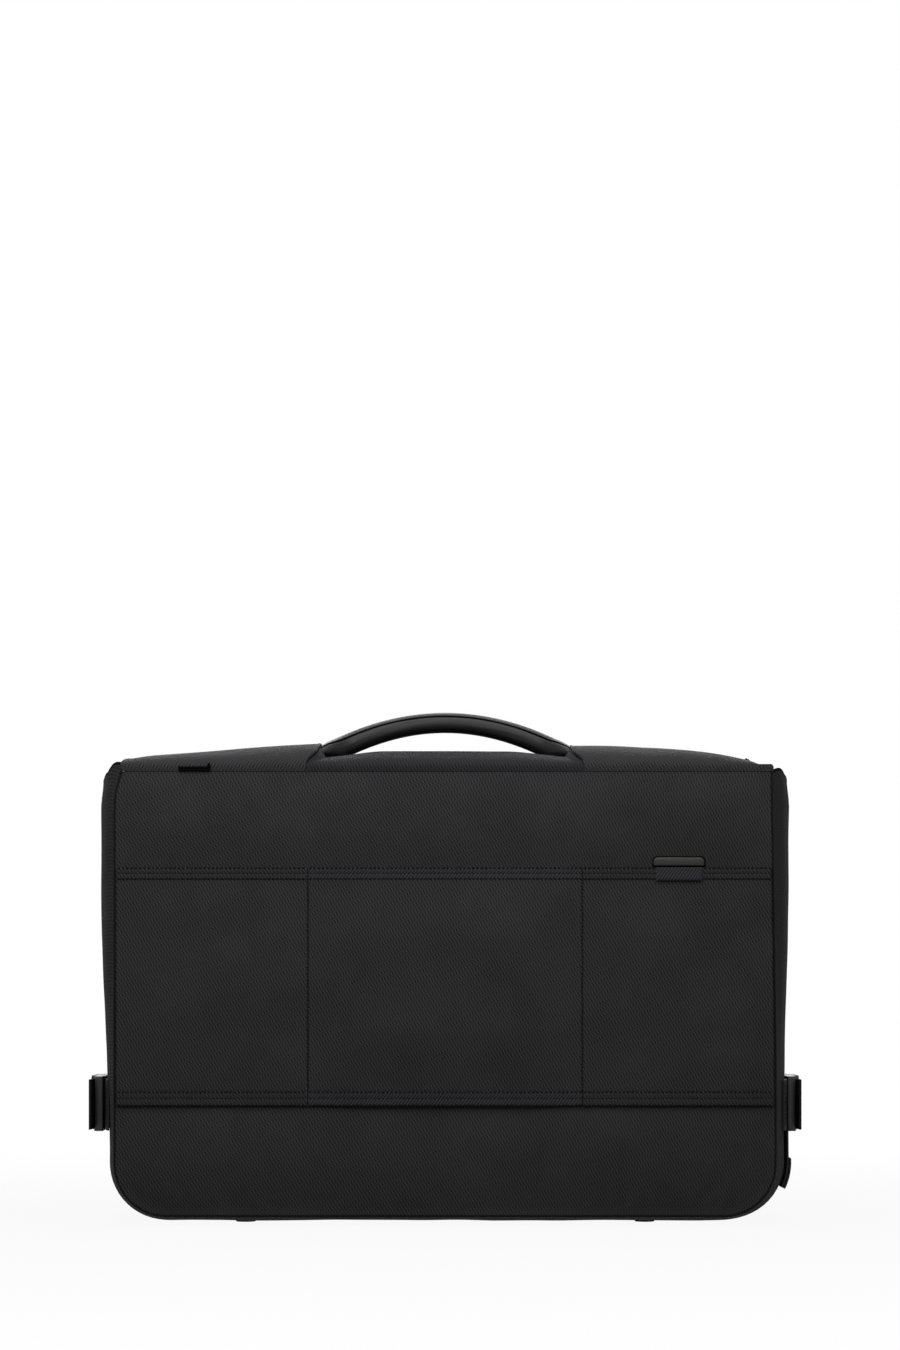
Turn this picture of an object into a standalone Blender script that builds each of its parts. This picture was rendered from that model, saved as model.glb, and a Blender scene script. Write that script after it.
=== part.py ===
"""Folding garment bag: two soft sections joined by a domed spine with a carry handle.

Metres, +Z up. The bag stands closed on its feet, centred on the origin.
X runs along the width and Y through the depth. The rear section, which carries
the trolley sleeve, is at -Y and the front section at +Y. Both hang from the
spine on two fold lines along X, at the top edges of the outer panels.
"""

from math import cos, exp, hypot, pi, sin, sqrt

import bmesh
import bpy
from mathutils import Matrix, Vector

# Whole bag
PANEL_WIDTH = 0.492
BAG_DEPTH = 0.200
FOLD_HEIGHT = 0.340
CORNER_RADIUS = 0.038
SEAM_GAP = 0.0003

# Soft walls of a section
PANEL_THICK = 0.004
GUSSET_WALL = 0.0025
GUSSET_INSET = 0.0015
BULGE_SIDE = 0.013
BULGE_BOTTOM = 0.0065
SWELL_SPAN = 0.82
STRAP_PINCH = 0.002
PINCH_REACH = 0.110
COVER_THICK = 0.002
COVER_TOP_DROP = 0.022
SECTION_GAP = 0.002
BOARD_THICK = 0.002
BOARD_INSET = 0.006

# Feet
FOOT_DROP = 0.0012
FOOT_SPACING = 0.304
FOOT_RADIUS = 0.0075
FOOT_TAPER = 0.9

# Trolley sleeve and belt on the rear panel
BELT_TOP = 0.268
BELT_BOTTOM = 0.0905
BELT_MARGIN = 0.001
BELT_THICK = 0.0012
BAND_THICK = 0.001
UPPER_BAND_HEIGHT = 0.0085
LOWER_BAND_HEIGHT = 0.0105
SLEEVE_WIDTH = 0.2055
SLEEVE_SLOT = 0.0052
SLEEVE_THICK = 0.0015
SLEEVE_RAMP = 0.004
SLEEVE_EDGE = 0.0015
HEM_THICK = 0.001
HEM_MARGIN = 0.001

# Bare badge and its fabric tab
BADGE_X = 0.1745
BADGE_WIDTH = 0.0395
BADGE_HEIGHT = 0.008
BADGE_THICK = 0.0025
BADGE_CORNER = 0.0035
BADGE_TAB_WIDTH = 0.0345
BADGE_TAB_HEIGHT = 0.0095

# Spine
SPINE_THICK = 0.004
SPINE_SKIRT = 0.003
RIDGE_RISE = 0.0205
END_RISE = 0.007
RIDGE_FALL = 2.2
END_ROUND = 0.022
SHOULDER_POWER = 0.909
WELL_RIDGE_WIDTH = 0.198
WELL_SEAM_WIDTH = 0.213
WELL_FLARE = 6
WELL_RISE = 0.0145
WELL_DISH = 0.007
WELL_DISH_HALF = 0.038
WELL_GAP = 0.0005
END_FLAP_MARGIN = 0.004
END_FLAP_THICK = 0.0015
END_FLAP_LIFT = 0.0015
END_FLAP_SLACK = 0.0005
HOOK_TAB_X = -0.187
HOOK_TAB_WIDTH = 0.024
HOOK_TAB_HEIGHT = 0.005
HOOK_TAB_THICK = 0.0013
LOOP_WIDTH = 0.025
LOOP_LENGTH = 0.020
LOOP_THICK = 0.0016
LOOP_MARGIN = 0.0065

# Roll bar that the garments fold over
BAR_RADIUS = 0.009
BAR_BORE = 0.0066
BAR_DROP = 0.011
BRACKET_THICK = 0.003
BRACKET_WIDTH = 0.024
BRACKET_END_MARGIN = 0.007
PEG_LENGTH = 0.010
PEG_CLEARANCE = 0.0003

# Carry handle
HANDLE_PIVOT_LIFT = 0.0048
HANDLE_RISE = 0.0255
HANDLE_END_INSET = 0.0075
GRIP_END_INSET = 0.004
GRIP_WIDTH = 0.030
GRIP_HEIGHT = 0.0155
GRIP_WIDTH_TAPER = 0.55
GRIP_HEIGHT_SWELL = 0.35
GRIP_HEIGHT_TAPER = 0.75
CORE_RADIUS = 0.0025
CORE_CLEARANCE = 0.0004
CORE_PIN_REACH = 0.0065
EAR_INSET = 0.0015
EAR_THICK = 0.003
EAR_RADIUS = 0.005
PIN_CLEARANCE = 0.0003
ANCHOR_LENGTH = 0.014
ANCHOR_WIDTH = 0.012
ANCHOR_THICK = 0.0015

# Side straps and side-release buckles
BUCKLE_Z = 0.0895
BUCKLE_WIDTH = 0.042
WEBBING_WIDTH = 0.038
WEBBING_THICK = 0.0016
WEBBING_BEND = 0.0022
STRAP_GAP = 0.0005
STRAP_ANCHOR_Y = 0.072
STRAP_TAIL_Y = 0.056
FRAME_LIFT = 0.001
FRAME_THICK = 0.007
FRAME_END_Y = 0.036
FRAME_BAR = 0.005
FRAME_SLOT = 0.0075
FRAME_RAIL = 0.0012
FRAME_EDGE = 0.0008
MALE_FRONT_Y = -0.008
FEMALE_MOUTH_Y = -0.006
HOUSING_END_Y = 0.0215
HOUSING_WALL = 0.0023
HOUSING_THICK = 0.0121
HOUSING_EDGE = 0.0015
POCKET_DEPTH = 0.024
WINDOW_START = 0.009
WINDOW_LENGTH = 0.011
PRONG_Z = 0.0132
PRONG_ARM = 0.004
PRONG_LENGTH = 0.020
PRONG_BARB = 0.008
PRONG_REACH = 0.020
PRONG_ROOT_GAP = 0.0005
PRONG_SIDE_GAP = 0.001
TAIL_TURN = 0.40
TAIL_STEPS = 3

# Front pocket with its zip
POCKET_WIDTH = 0.420
POCKET_TOP = 0.285
POCKET_BOTTOM = 0.045
POCKET_THICK = 0.0015
POCKET_SWELL = 0.003
TAPE_HEIGHT = 0.006
TAPE_THICK = 0.001
ZIP_LENGTH = 0.420
ZIP_SLOT = 0.002
COIL_HEIGHT = 0.005
COIL_THICK = 0.0014
SLIDER_LENGTH = 0.012
SLIDER_HEIGHT = 0.009
SLIDER_THICK = 0.0028
SLIDER_EDGE = 0.0008
SLIDER_END_MARGIN = 0.016
PULL_WIDTH = 0.008
PULL_LENGTH = 0.026
PULL_THICK = 0.0013
PULL_EYE_MARGIN = 0.0008

# Hanger clamp inside the front section
CLAMP_HEIGHT = 0.056
CLAMP_WIDTH = 0.080
CLAMP_PLATE_HEIGHT = 0.036
CLAMP_PLATE_THICK = 0.002
CLAMP_EAR_REACH = 0.012
CLAMP_EAR_THICK = 0.003
CLAMP_EAR_HEIGHT = 0.010
CLAMP_PIN_RADIUS = 0.002
LEVER_LENGTH = 0.026
LEVER_THICK = 0.002

HALF_WIDTH = PANEL_WIDTH / 2
HALF_DEPTH = BAG_DEPTH / 2
PIPING_RADIUS = PANEL_THICK / 2
GUSSET_START = GUSSET_WALL / 2 - GUSSET_INSET
GUSSET_NEAR = PANEL_THICK + SEAM_GAP
# The wall leans in at its inner edge, so its rim needs a quarter of a wall more room.
GUSSET_FAR = HALF_DEPTH - SECTION_GAP - COVER_THICK - SEAM_GAP - GUSSET_WALL / 4
PANEL_BOTTOM = FOOT_DROP + GUSSET_WALL / 2 + GUSSET_START + BULGE_BOTTOM
SECTION_TOP = FOLD_HEIGHT - SEAM_GAP / 2
COVER_TOP = FOLD_HEIGHT - COVER_TOP_DROP
PEAK_ACROSS = 0.5 / SWELL_SPAN
SWELL_PEAK = GUSSET_NEAR + (GUSSET_FAR - GUSSET_NEAR) * PEAK_ACROSS
SIDE_OUT = HALF_WIDTH + GUSSET_START + BULGE_SIDE - STRAP_PINCH + GUSSET_WALL / 2
OUTER_STACK = 2 * SEAM_GAP + SLEEVE_SLOT + SLEEVE_THICK + HEM_THICK
SPINE_BASE = FOLD_HEIGHT + SEAM_GAP / 2
WELL_FLOOR = SPINE_BASE + SPINE_SKIRT + WELL_RISE - WELL_DISH + SPINE_THICK / 2
HANDLE_AXIS = WELL_FLOOR + HANDLE_PIVOT_LIFT
EAR_X = WELL_RIDGE_WIDTH / 2 - EAR_INSET
HANDLE_SPAN = 2 * (EAR_X - HANDLE_END_INSET)
GRIP_LENGTH = HANDLE_SPAN - 2 * GRIP_END_INSET
STRAP_IN = SIDE_OUT + STRAP_GAP + WEBBING_THICK / 2
FRAME_IN = STRAP_IN + WEBBING_THICK / 2 + FRAME_LIFT
BUCKLE_OUT = FRAME_IN + HOUSING_THICK
STRAP_OUT = FRAME_IN + FRAME_THICK + 2 * SEAM_GAP + WEBBING_THICK / 2
FRAME_SLOT_Y = FRAME_END_Y - FRAME_BAR - FRAME_SLOT / 2
ZIP_Z = POCKET_TOP + TAPE_HEIGHT + ZIP_SLOT / 2
SLIDER_X = SLIDER_END_MARGIN - ZIP_LENGTH / 2
CLAMP_BACK_Y = HALF_DEPTH - GUSSET_NEAR - BOARD_THICK - SEAM_GAP
CLAMP_PIN_Y = CLAMP_BACK_Y - CLAMP_PLATE_THICK - CLAMP_EAR_REACH / 2
CLAMP_PIN_Z = CLAMP_HEIGHT + CLAMP_PLATE_HEIGHT / 2 - CLAMP_EAR_HEIGHT / 2

REAR = -1
FRONT = 1
SIDES = {"left": -1, "right": 1}
ARC_STEPS = 6
GUSSET_ROWS = 8
SPINE_ROWS = 14
SPINE_COLUMNS = 10
WELL_ROWS = 20
WELL_COLUMNS = 6

for stale in list(bpy.data.objects):
    bpy.data.objects.remove(stale, do_unlink=True)

PARTS = bpy.data.collections.new("garment_bag")
CUTTERS = bpy.data.collections.new("garment_bag_cutters")
for group in (PARTS, CUTTERS):
    bpy.context.scene.collection.children.link(group)


def make_material(name, colour, roughness, metallic=0.0):
    """A plain Principled finish."""
    material = bpy.data.materials.new(name)
    material.use_nodes = True
    shader = material.node_tree.nodes["Principled BSDF"]
    shader.inputs["Base Color"].default_value = (*colour, 1.0)
    shader.inputs["Roughness"].default_value = roughness
    shader.inputs["Metallic"].default_value = metallic
    return material


TWILL = make_material("black_twill", (0.021, 0.021, 0.023), 0.75)
SATIN_WEAVE = make_material("smooth_black_weave", (0.030, 0.030, 0.032), 0.65)
WEBBING = make_material("black_webbing", (0.014, 0.014, 0.015), 0.7)
PIPING = make_material("black_piping", (0.012, 0.012, 0.013), 0.5)
LINING = make_material("grey_lining", (0.12, 0.12, 0.13), 0.6)
BOARD = make_material("polyethylene_board", (0.05, 0.05, 0.05), 0.5)
ACETAL = make_material("black_acetal", (0.008, 0.008, 0.008), 0.3)
BADGE = make_material("olive_grey_plastic", (0.032, 0.032, 0.027), 0.4)
STEEL = make_material("plated_steel", (0.45, 0.45, 0.46), 0.3, 1.0)
RUBBER = make_material("black_rubber", (0.015, 0.015, 0.015), 0.8)


def add_axis(name, location, parent=None):
    """An empty on a joint's axis, which carries the pieces that move about it."""
    axis = bpy.data.objects.new(name, None)
    axis.location = location
    axis["rest_point"] = location
    PARTS.objects.link(axis)
    hang_on(axis, parent)
    return axis


def hang_on(piece, axis):
    """Parents a piece to an axis without moving it."""
    if axis is None:
        return
    piece.parent = axis
    piece.matrix_parent_inverse = Matrix.Translation(-Vector(axis["rest_point"]))


def add_piece(name, bm, material, axis=None, cutter=False):
    """Makes an object from a bmesh and links it among the parts or the cutters."""
    bmesh.ops.recalc_face_normals(bm, faces=bm.faces)
    mesh = bpy.data.meshes.new(name)
    bm.to_mesh(mesh)
    bm.free()
    piece = bpy.data.objects.new(name, mesh)
    if cutter:
        CUTTERS.objects.link(piece)
        piece.hide_render = True
        piece.display_type = "WIRE"
        return piece
    mesh.materials.append(material)
    mesh.shade_smooth()
    mesh.set_sharp_from_angle(angle=pi / 5)
    PARTS.objects.link(piece)
    hang_on(piece, axis)
    return piece


def bevel(piece, width, segments=2):
    """Rounds the edges of a piece."""
    modifier = piece.modifiers.new("rounded_edges", "BEVEL")
    modifier.width = width
    modifier.segments = segments
    modifier.limit_method = "ANGLE"
    return piece


def combine(piece, other, operation):
    """Cuts another shape out of a piece, or joins it on, and keeps the other as a cutter."""
    modifier = piece.modifiers.new(other.name, "BOOLEAN")
    modifier.operation = operation
    modifier.solver = "EXACT"
    modifier.object = other


def span_box(name, low, high, material=None, axis=None, round_edge=0.0, cutter=False):
    """A box between two corners, with rounded edges if asked."""
    low = Vector(low)
    high = Vector(high)
    bm = bmesh.new()
    bmesh.ops.create_cube(bm, size=1.0)
    bmesh.ops.scale(bm, vec=high - low, verts=bm.verts)
    bmesh.ops.translate(bm, vec=(low + high) / 2, verts=bm.verts)
    piece = add_piece(name, bm, material, axis, cutter)
    if round_edge:
        bevel(piece, round_edge)
    return piece


def side_box(side, x_range, y_range, z_range):
    """Corners of a box whose X range is measured outwards on one side of the bag."""
    x_low, x_high = sorted(side * x for x in x_range)
    y_low, y_high = sorted(y_range)
    return (x_low, y_low, z_range[0]), (x_high, y_high, z_range[1])


def x_rod(name, radius, x_low, x_high, y, z, material=None, axis=None, cutter=False, segments=20):
    """A round rod along X."""
    bm = bmesh.new()
    turn = Matrix.Translation(((x_low + x_high) / 2, y, z)) @ Matrix.Rotation(pi / 2, 4, "Y")
    bmesh.ops.create_cone(bm, cap_ends=True, segments=segments, radius1=radius, radius2=radius,
                          depth=x_high - x_low, matrix=turn)
    return add_piece(name, bm, material, axis, cutter)


def curve_mesh(curve, turn):
    """The welded mesh of a curve, turned into place."""
    source = bpy.data.objects.new("curve_source", curve)
    PARTS.objects.link(source)
    graph = bpy.context.evaluated_depsgraph_get()
    mesh = bpy.data.meshes.new_from_object(source.evaluated_get(graph))
    bpy.data.objects.remove(source, do_unlink=True)
    bm = bmesh.new()
    bm.from_mesh(mesh)
    bpy.data.meshes.remove(mesh)
    bmesh.ops.remove_doubles(bm, verts=bm.verts, dist=0.00001)
    bmesh.ops.transform(bm, matrix=turn, verts=bm.verts)
    return bm


def poly_curve(name, dimensions, points, cyclic):
    """A curve of straight steps through the points."""
    curve = bpy.data.curves.new(name, "CURVE")
    curve.dimensions = dimensions
    spline = curve.splines.new("POLY")
    spline.points.add(len(points) - 1)
    for target, point in zip(spline.points, points):
        target.co = (*point, 1.0) if len(point) == 3 else (*point, 0.0, 1.0)
    spline.use_cyclic_u = cyclic
    return curve


STAND_UP = Matrix.Rotation(pi / 2, 4, "X")
TURN_TO_YZ = Matrix(((0, 0, 1, 0), (1, 0, 0, 0), (0, 1, 0, 0), (0, 0, 0, 1)))


def plate_mesh(name, outline, low, high, along_x=False):
    """A flat outline, in XZ with its thickness along Y, or in YZ with it along X."""
    curve = poly_curve(name, "2D", outline, True)
    curve.fill_mode = "BOTH"
    curve.extrude = (high - low) / 2
    middle = (low + high) / 2
    if along_x:
        turn = Matrix.Translation((middle, 0, 0)) @ TURN_TO_YZ
    else:
        turn = Matrix.Translation((0, middle, 0)) @ STAND_UP
    return curve_mesh(curve, turn)


def plate(name, outline, low, high, material, axis=None, along_x=False):
    """A piece cut from flat material."""
    return add_piece(name, plate_mesh(name, outline, low, high, along_x), material, axis)


def cord_mesh(name, points, radius):
    """A round cord or wire through the points."""
    curve = poly_curve(name, "3D", points, False)
    curve.bevel_depth = radius
    curve.bevel_resolution = 2
    curve.use_fill_caps = True
    return curve_mesh(curve, Matrix.Identity(4))


def sheet(name, u_count, v_count, place, thickness, material, axis=None):
    """A grid draped over a shape and given an even thickness about it."""
    bm = bmesh.new()
    bmesh.ops.create_grid(bm, x_segments=u_count, y_segments=v_count, size=1.0)
    for vert in bm.verts:
        vert.co = place((vert.co.x + 1) / 2, (vert.co.y + 1) / 2)
    piece = add_piece(name, bm, material, axis)
    solid = piece.modifiers.new("cloth_thickness", "SOLIDIFY")
    solid.thickness = thickness
    solid.offset = 0.0
    solid.use_even_offset = True
    return piece


def arc(centre, radius, start, stop, steps=ARC_STEPS):
    """Points of an arc, from start to stop in radians."""
    angles = [start + (stop - start) * step / steps for step in range(steps + 1)]
    return [(centre[0] + radius * cos(angle), centre[1] + radius * sin(angle)) for angle in angles]


def u_path(top, side_steps=12, bottom_steps=6):
    """Points and outward normals of a panel's sewn edge, down one side and up the other."""
    path = []
    centre_x = HALF_WIDTH - CORNER_RADIUS
    centre_z = PANEL_BOTTOM + CORNER_RADIUS
    for step in range(side_steps):
        height = top + (centre_z - top) * step / side_steps
        path.append(((-HALF_WIDTH, height), (-1.0, 0.0)))
    for point in arc((0, 0), 1.0, pi, 1.5 * pi):
        path.append(((point[0] * CORNER_RADIUS - centre_x, point[1] * CORNER_RADIUS + centre_z), point))
    for step in range(1, bottom_steps):
        path.append(((centre_x * (2 * step / bottom_steps - 1), PANEL_BOTTOM), (0.0, -1.0)))
    path += [((-point[0], point[1]), (-normal[0], normal[1])) for point, normal in
             reversed(path[:side_steps + ARC_STEPS + 1])]
    return path


def u_outline(top, offset):
    """The sewn edge moved outwards by an offset that may depend on its normal and height."""
    outline = []
    for (x, z), normal in u_path(top):
        out = offset(normal, z)
        outline.append((x + normal[0] * out, z + normal[1] * out))
    return outline


def gusset_offset(normal, height, across):
    """How far the middle of the gusset wall stands out from the sewn edge, across its depth."""
    pinch = STRAP_PINCH * exp(-((height - BUCKLE_Z) / PINCH_REACH) ** 2)
    bulge = hypot((BULGE_SIDE - pinch) * normal[0], BULGE_BOTTOM * normal[1])
    return GUSSET_START + bulge * sin(pi * SWELL_SPAN * across)


def side_surface(depth_in):
    """Outer X of the gusset's side behind the strap, at a distance in from the outer face."""
    across = (depth_in - GUSSET_NEAR) / (GUSSET_FAR - GUSSET_NEAR)
    return HALF_WIDTH + gusset_offset((1.0, 0.0), BUCKLE_Z, across) + GUSSET_WALL / 2


def build_section(name, facing, axis):
    """Panel, gusset, piping, board, inner cover and feet of one half of the bag."""
    outer = facing * HALF_DEPTH

    def y_span(near, far):
        """Y range of a layer between two distances in from the outer face."""
        return sorted((outer - facing * near, outer - facing * far))

    path = u_path(SECTION_TOP)

    def gusset_point(along, across):
        """A point on the middle of the gusset wall."""
        point, normal = path[round(along * (len(path) - 1))]
        offset = gusset_offset(normal, point[1], across)
        depth_in = GUSSET_NEAR + across * (GUSSET_FAR - GUSSET_NEAR)
        return (point[0] + normal[0] * offset, outer - facing * depth_in, point[1] + normal[1] * offset)

    plate(name + "_panel", u_outline(SECTION_TOP, lambda normal, height: 0.0), *y_span(0, PANEL_THICK),
          TWILL, axis)
    sheet(name + "_gusset", len(path) - 1, GUSSET_ROWS, gusset_point, GUSSET_WALL, TWILL, axis)

    seam = u_outline(SECTION_TOP, lambda normal, height: PIPING_RADIUS + SEAM_GAP)
    seam_y = outer - facing * PIPING_RADIUS
    bm = cord_mesh(name + "_piping", [(x, seam_y, z) for x, z in seam], PIPING_RADIUS)
    add_piece(name + "_piping", bm, PIPING, axis)

    board = u_outline(SECTION_TOP - BOARD_INSET, lambda normal, height: -BOARD_INSET)
    plate(name + "_stiffener_board", board, *y_span(GUSSET_NEAR, GUSSET_NEAR + BOARD_THICK),
          BOARD, axis)

    cover = u_outline(COVER_TOP, lambda normal, height: gusset_offset(normal, height, 1.0) + GUSSET_WALL / 2)
    cover_far = HALF_DEPTH - SECTION_GAP
    plate(name + "_inner_cover", cover, *y_span(cover_far - COVER_THICK, cover_far), LINING, axis)

    foot_height = FOOT_DROP - SEAM_GAP
    for side_name, side in SIDES.items():
        place = Matrix.Translation((side * FOOT_SPACING / 2, outer - facing * SWELL_PEAK, foot_height / 2))
        bm = bmesh.new()
        bmesh.ops.create_cone(bm, cap_ends=True, segments=24, radius1=FOOT_RADIUS * FOOT_TAPER,
                              radius2=FOOT_RADIUS, depth=foot_height, matrix=place)
        add_piece(name + "_foot_" + side_name, bm, RUBBER, axis)


def build_sleeve():
    """The belt round the rear panel with the trolley sleeve in its middle."""
    face = -HALF_DEPTH - SEAM_GAP
    inner = SLEEVE_WIDTH / 2 + SEAM_GAP
    belt_end = HALF_WIDTH - BELT_MARGIN
    band_face = face - BELT_THICK - SEAM_GAP
    upper = (BELT_TOP - UPPER_BAND_HEIGHT, BELT_TOP)
    lower = (BELT_BOTTOM, BELT_BOTTOM + LOWER_BAND_HEIGHT)
    for side_name, side in SIDES.items():
        low, high = side_box(side, (inner, belt_end), (face - BELT_THICK, face), (BELT_BOTTOM, BELT_TOP))
        span_box("belt_panel_" + side_name, low, high, TWILL)
        for band_name, band in (("upper", upper), ("lower", lower)):
            low, high = side_box(side, (inner, belt_end), (band_face - BAND_THICK, band_face), band)
            span_box(band_name + "_belt_band_" + side_name, low, high, WEBBING)

    sleeve_half = SLEEVE_WIDTH / 2
    ramp_foot = sleeve_half - SLEEVE_EDGE
    ramp_top = ramp_foot - SLEEVE_RAMP
    run = [(-sleeve_half, 0.0), (-ramp_foot, 0.0), (-ramp_top, SLEEVE_SLOT)]
    run += [(-x, lift) for x, lift in reversed(run)]

    def sleeve_point(along, up):
        """A point on the sleeve, which stands off the panel between its sewn sides."""
        x, lift = run[round(along * (len(run) - 1))]
        return (x, face - SLEEVE_THICK / 2 - lift, BELT_BOTTOM + up * (BELT_TOP - BELT_BOTTOM))

    sheet("trolley_sleeve", len(run) - 1, 1, sleeve_point, SLEEVE_THICK, TWILL)
    hem_face = face - SLEEVE_SLOT - SLEEVE_THICK - SEAM_GAP
    hem_half = ramp_top - HEM_MARGIN
    for hem_name, band in (("top", upper), ("bottom", lower)):
        span_box("sleeve_hem_" + hem_name, (-hem_half, hem_face - HEM_THICK, band[0]),
                 (hem_half, hem_face, band[1]), WEBBING)

    badge_base = BELT_TOP + 2 * SEAM_GAP
    badge_top = badge_base + BADGE_HEIGHT
    right = BADGE_X + BADGE_WIDTH / 2
    left = BADGE_X - BADGE_WIDTH / 2
    corner_z = badge_top - BADGE_CORNER
    outline = [(left, badge_base), (right, badge_base)]
    outline += arc((right - BADGE_CORNER, corner_z), BADGE_CORNER, 0, pi / 2)
    outline += arc((left + BADGE_CORNER, corner_z), BADGE_CORNER, pi / 2, pi)
    plate("badge_plate", outline, face - BADGE_THICK, face, BADGE)
    tab_face = band_face - BAND_THICK - SEAM_GAP
    span_box("badge_tab", (BADGE_X - BADGE_TAB_WIDTH / 2, tab_face - BAND_THICK, BELT_TOP - BADGE_TAB_HEIGHT),
             (BADGE_X + BADGE_TAB_WIDTH / 2, tab_face, BELT_TOP + SEAM_GAP), WEBBING)


def arch(across, rows):
    """Y, skirt height and share of the rise at a row across the spine, from 0 to 1.

    The first and last rows are the foot of a short upright skirt at the fold lines.
    """
    row = round(across * rows)
    half = HALF_DEPTH - SPINE_THICK / 2
    if row in (0, rows):
        return (-half if row == 0 else half), 0.0, 0.0
    angle = (2 * (row - 1) / (rows - 2) - 1) * pi / 2
    reach = abs(sin(angle)) ** SHOULDER_POWER
    return (half * reach if angle >= 0 else -half * reach), SPINE_SKIRT, max(cos(angle), 0.0)


def arch_share(y):
    """Share of the rise that the spine has at a distance from the ridge."""
    reach = min(1.0, abs(y) / (HALF_DEPTH - SPINE_THICK / 2))
    return sqrt(1 - reach ** (2 / SHOULDER_POWER))


def well_half_width(y):
    """Half the width of the handle well, which narrows from the seams to the ridge."""
    flare = (abs(y) / HALF_DEPTH) ** WELL_FLARE
    return (WELL_RIDGE_WIDTH + (WELL_SEAM_WIDTH - WELL_RIDGE_WIDTH) * flare) / 2


def side_rise(x):
    """Rise of the spine's ridge at a distance from the middle of the bag."""
    start = WELL_RIDGE_WIDTH / 2
    outwards = min(1.0, max(0.0, (abs(x) - start) / (HALF_WIDTH - start)))
    rise = END_RISE + (RIDGE_RISE - END_RISE) * (1 - outwards ** RIDGE_FALL)
    past_round = max(0.0, abs(x) - HALF_WIDTH + END_ROUND) / END_ROUND
    return rise * sqrt(max(0.0, 1 - past_round ** 2))


def build_spine(axis):
    """The domed top between the fold lines, with the handle well and the roll bar."""
    base = SPINE_BASE
    crown = base + SPINE_SKIRT

    for side_name, side in SIDES.items():
        def side_point(along, across, side=side):
            """A point on one side of the dome."""
            y, skirt, share = arch(across, SPINE_ROWS)
            inner = well_half_width(y) + WELL_GAP
            x = inner + sin(along * pi / 2) * (HALF_WIDTH - inner)
            return (side * x, y, base + skirt + side_rise(x) * share)

        sheet("spine_panel_" + side_name, SPINE_COLUMNS, SPINE_ROWS, side_point, SPINE_THICK,
              SATIN_WEAVE, axis)

    def well_point(along, across):
        """A point on the sunken panel under the handle."""
        y, skirt, share = arch(across, WELL_ROWS)
        dish = WELL_DISH * exp(-(y / WELL_DISH_HALF) ** 6)
        return ((2 * along - 1) * well_half_width(y), y, base + skirt + (WELL_RISE - dish) * share)

    sheet("handle_well", WELL_COLUMNS, WELL_ROWS, well_point, SPINE_THICK, SATIN_WEAVE, axis)

    flap_out = HALF_WIDTH - END_FLAP_MARGIN
    flap_half = HALF_DEPTH - SPINE_THICK - END_FLAP_SLACK
    flap_foot = COVER_TOP + END_FLAP_LIFT
    flap = [(-flap_half, flap_foot), (flap_half, flap_foot)]
    for step in range(SPINE_ROWS + 1):
        y = flap_half * (1 - 2 * step / SPINE_ROWS)
        under = crown + side_rise(flap_out) * arch_share(y) - SPINE_THICK / 2
        flap.append((y, under - END_FLAP_SLACK - SEAM_GAP))
    for side_name, side in SIDES.items():
        flap_x = sorted((side * flap_out, side * (flap_out - END_FLAP_THICK)))
        plate("spine_end_flap_" + side_name, flap, *flap_x, SATIN_WEAVE, axis, along_x=True)

    tab_face = -HALF_DEPTH - SEAM_GAP
    span_box("hook_slit_binding",
             (HOOK_TAB_X - HOOK_TAB_WIDTH / 2, tab_face - HOOK_TAB_THICK, base),
             (HOOK_TAB_X + HOOK_TAB_WIDTH / 2, tab_face, base + HOOK_TAB_HEIGHT), WEBBING, axis)

    def loop_point(along, across):
        """A point on the webbing tab that lies over the dome's right end."""
        x = HALF_WIDTH - LOOP_MARGIN - (1 - along) * LOOP_LENGTH
        lift = SPINE_THICK / 2 + 3 * SEAM_GAP + LOOP_THICK / 2
        return (x, (across - 0.5) * LOOP_WIDTH, crown + side_rise(x) + lift)

    sheet("strap_tab_right", 6, 2, loop_point, LOOP_THICK, WEBBING, axis)

    bar_z = FOLD_HEIGHT - BAR_DROP
    bracket_out = HALF_WIDTH - BRACKET_END_MARGIN
    bar_half = bracket_out - BRACKET_THICK - SEAM_GAP
    bar = x_rod("roll_bar", BAR_RADIUS, -bar_half, bar_half, 0, bar_z, BOARD, axis, segments=24)
    bore = x_rod("roll_bar_bore", BAR_BORE, -HALF_WIDTH, HALF_WIDTH, 0, bar_z, cutter=True)
    combine(bar, bore, "DIFFERENCE")
    bracket_top = crown + side_rise(bracket_out) - SPINE_THICK / 2 - 3 * SEAM_GAP
    for side_name, side in SIDES.items():
        low, high = side_box(side, (bracket_out - BRACKET_THICK, bracket_out),
                             (-BRACKET_WIDTH / 2, BRACKET_WIDTH / 2), (bar_z - BAR_RADIUS, bracket_top))
        bracket = span_box("roll_bar_bracket_" + side_name, low, high, ACETAL, axis)
        peg_x = sorted((side * (bar_half - PEG_LENGTH), side * (bracket_out - BRACKET_THICK / 2)))
        peg = x_rod("roll_bar_peg_" + side_name, BAR_BORE - PEG_CLEARANCE, *peg_x, 0, bar_z, cutter=True)
        combine(bracket, peg, "UNION")


def handle_line(x):
    """Height of the handle's middle line."""
    return HANDLE_AXIS + HANDLE_RISE * max(0.0, 1 - (2 * x / HANDLE_SPAN) ** 2)


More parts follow.
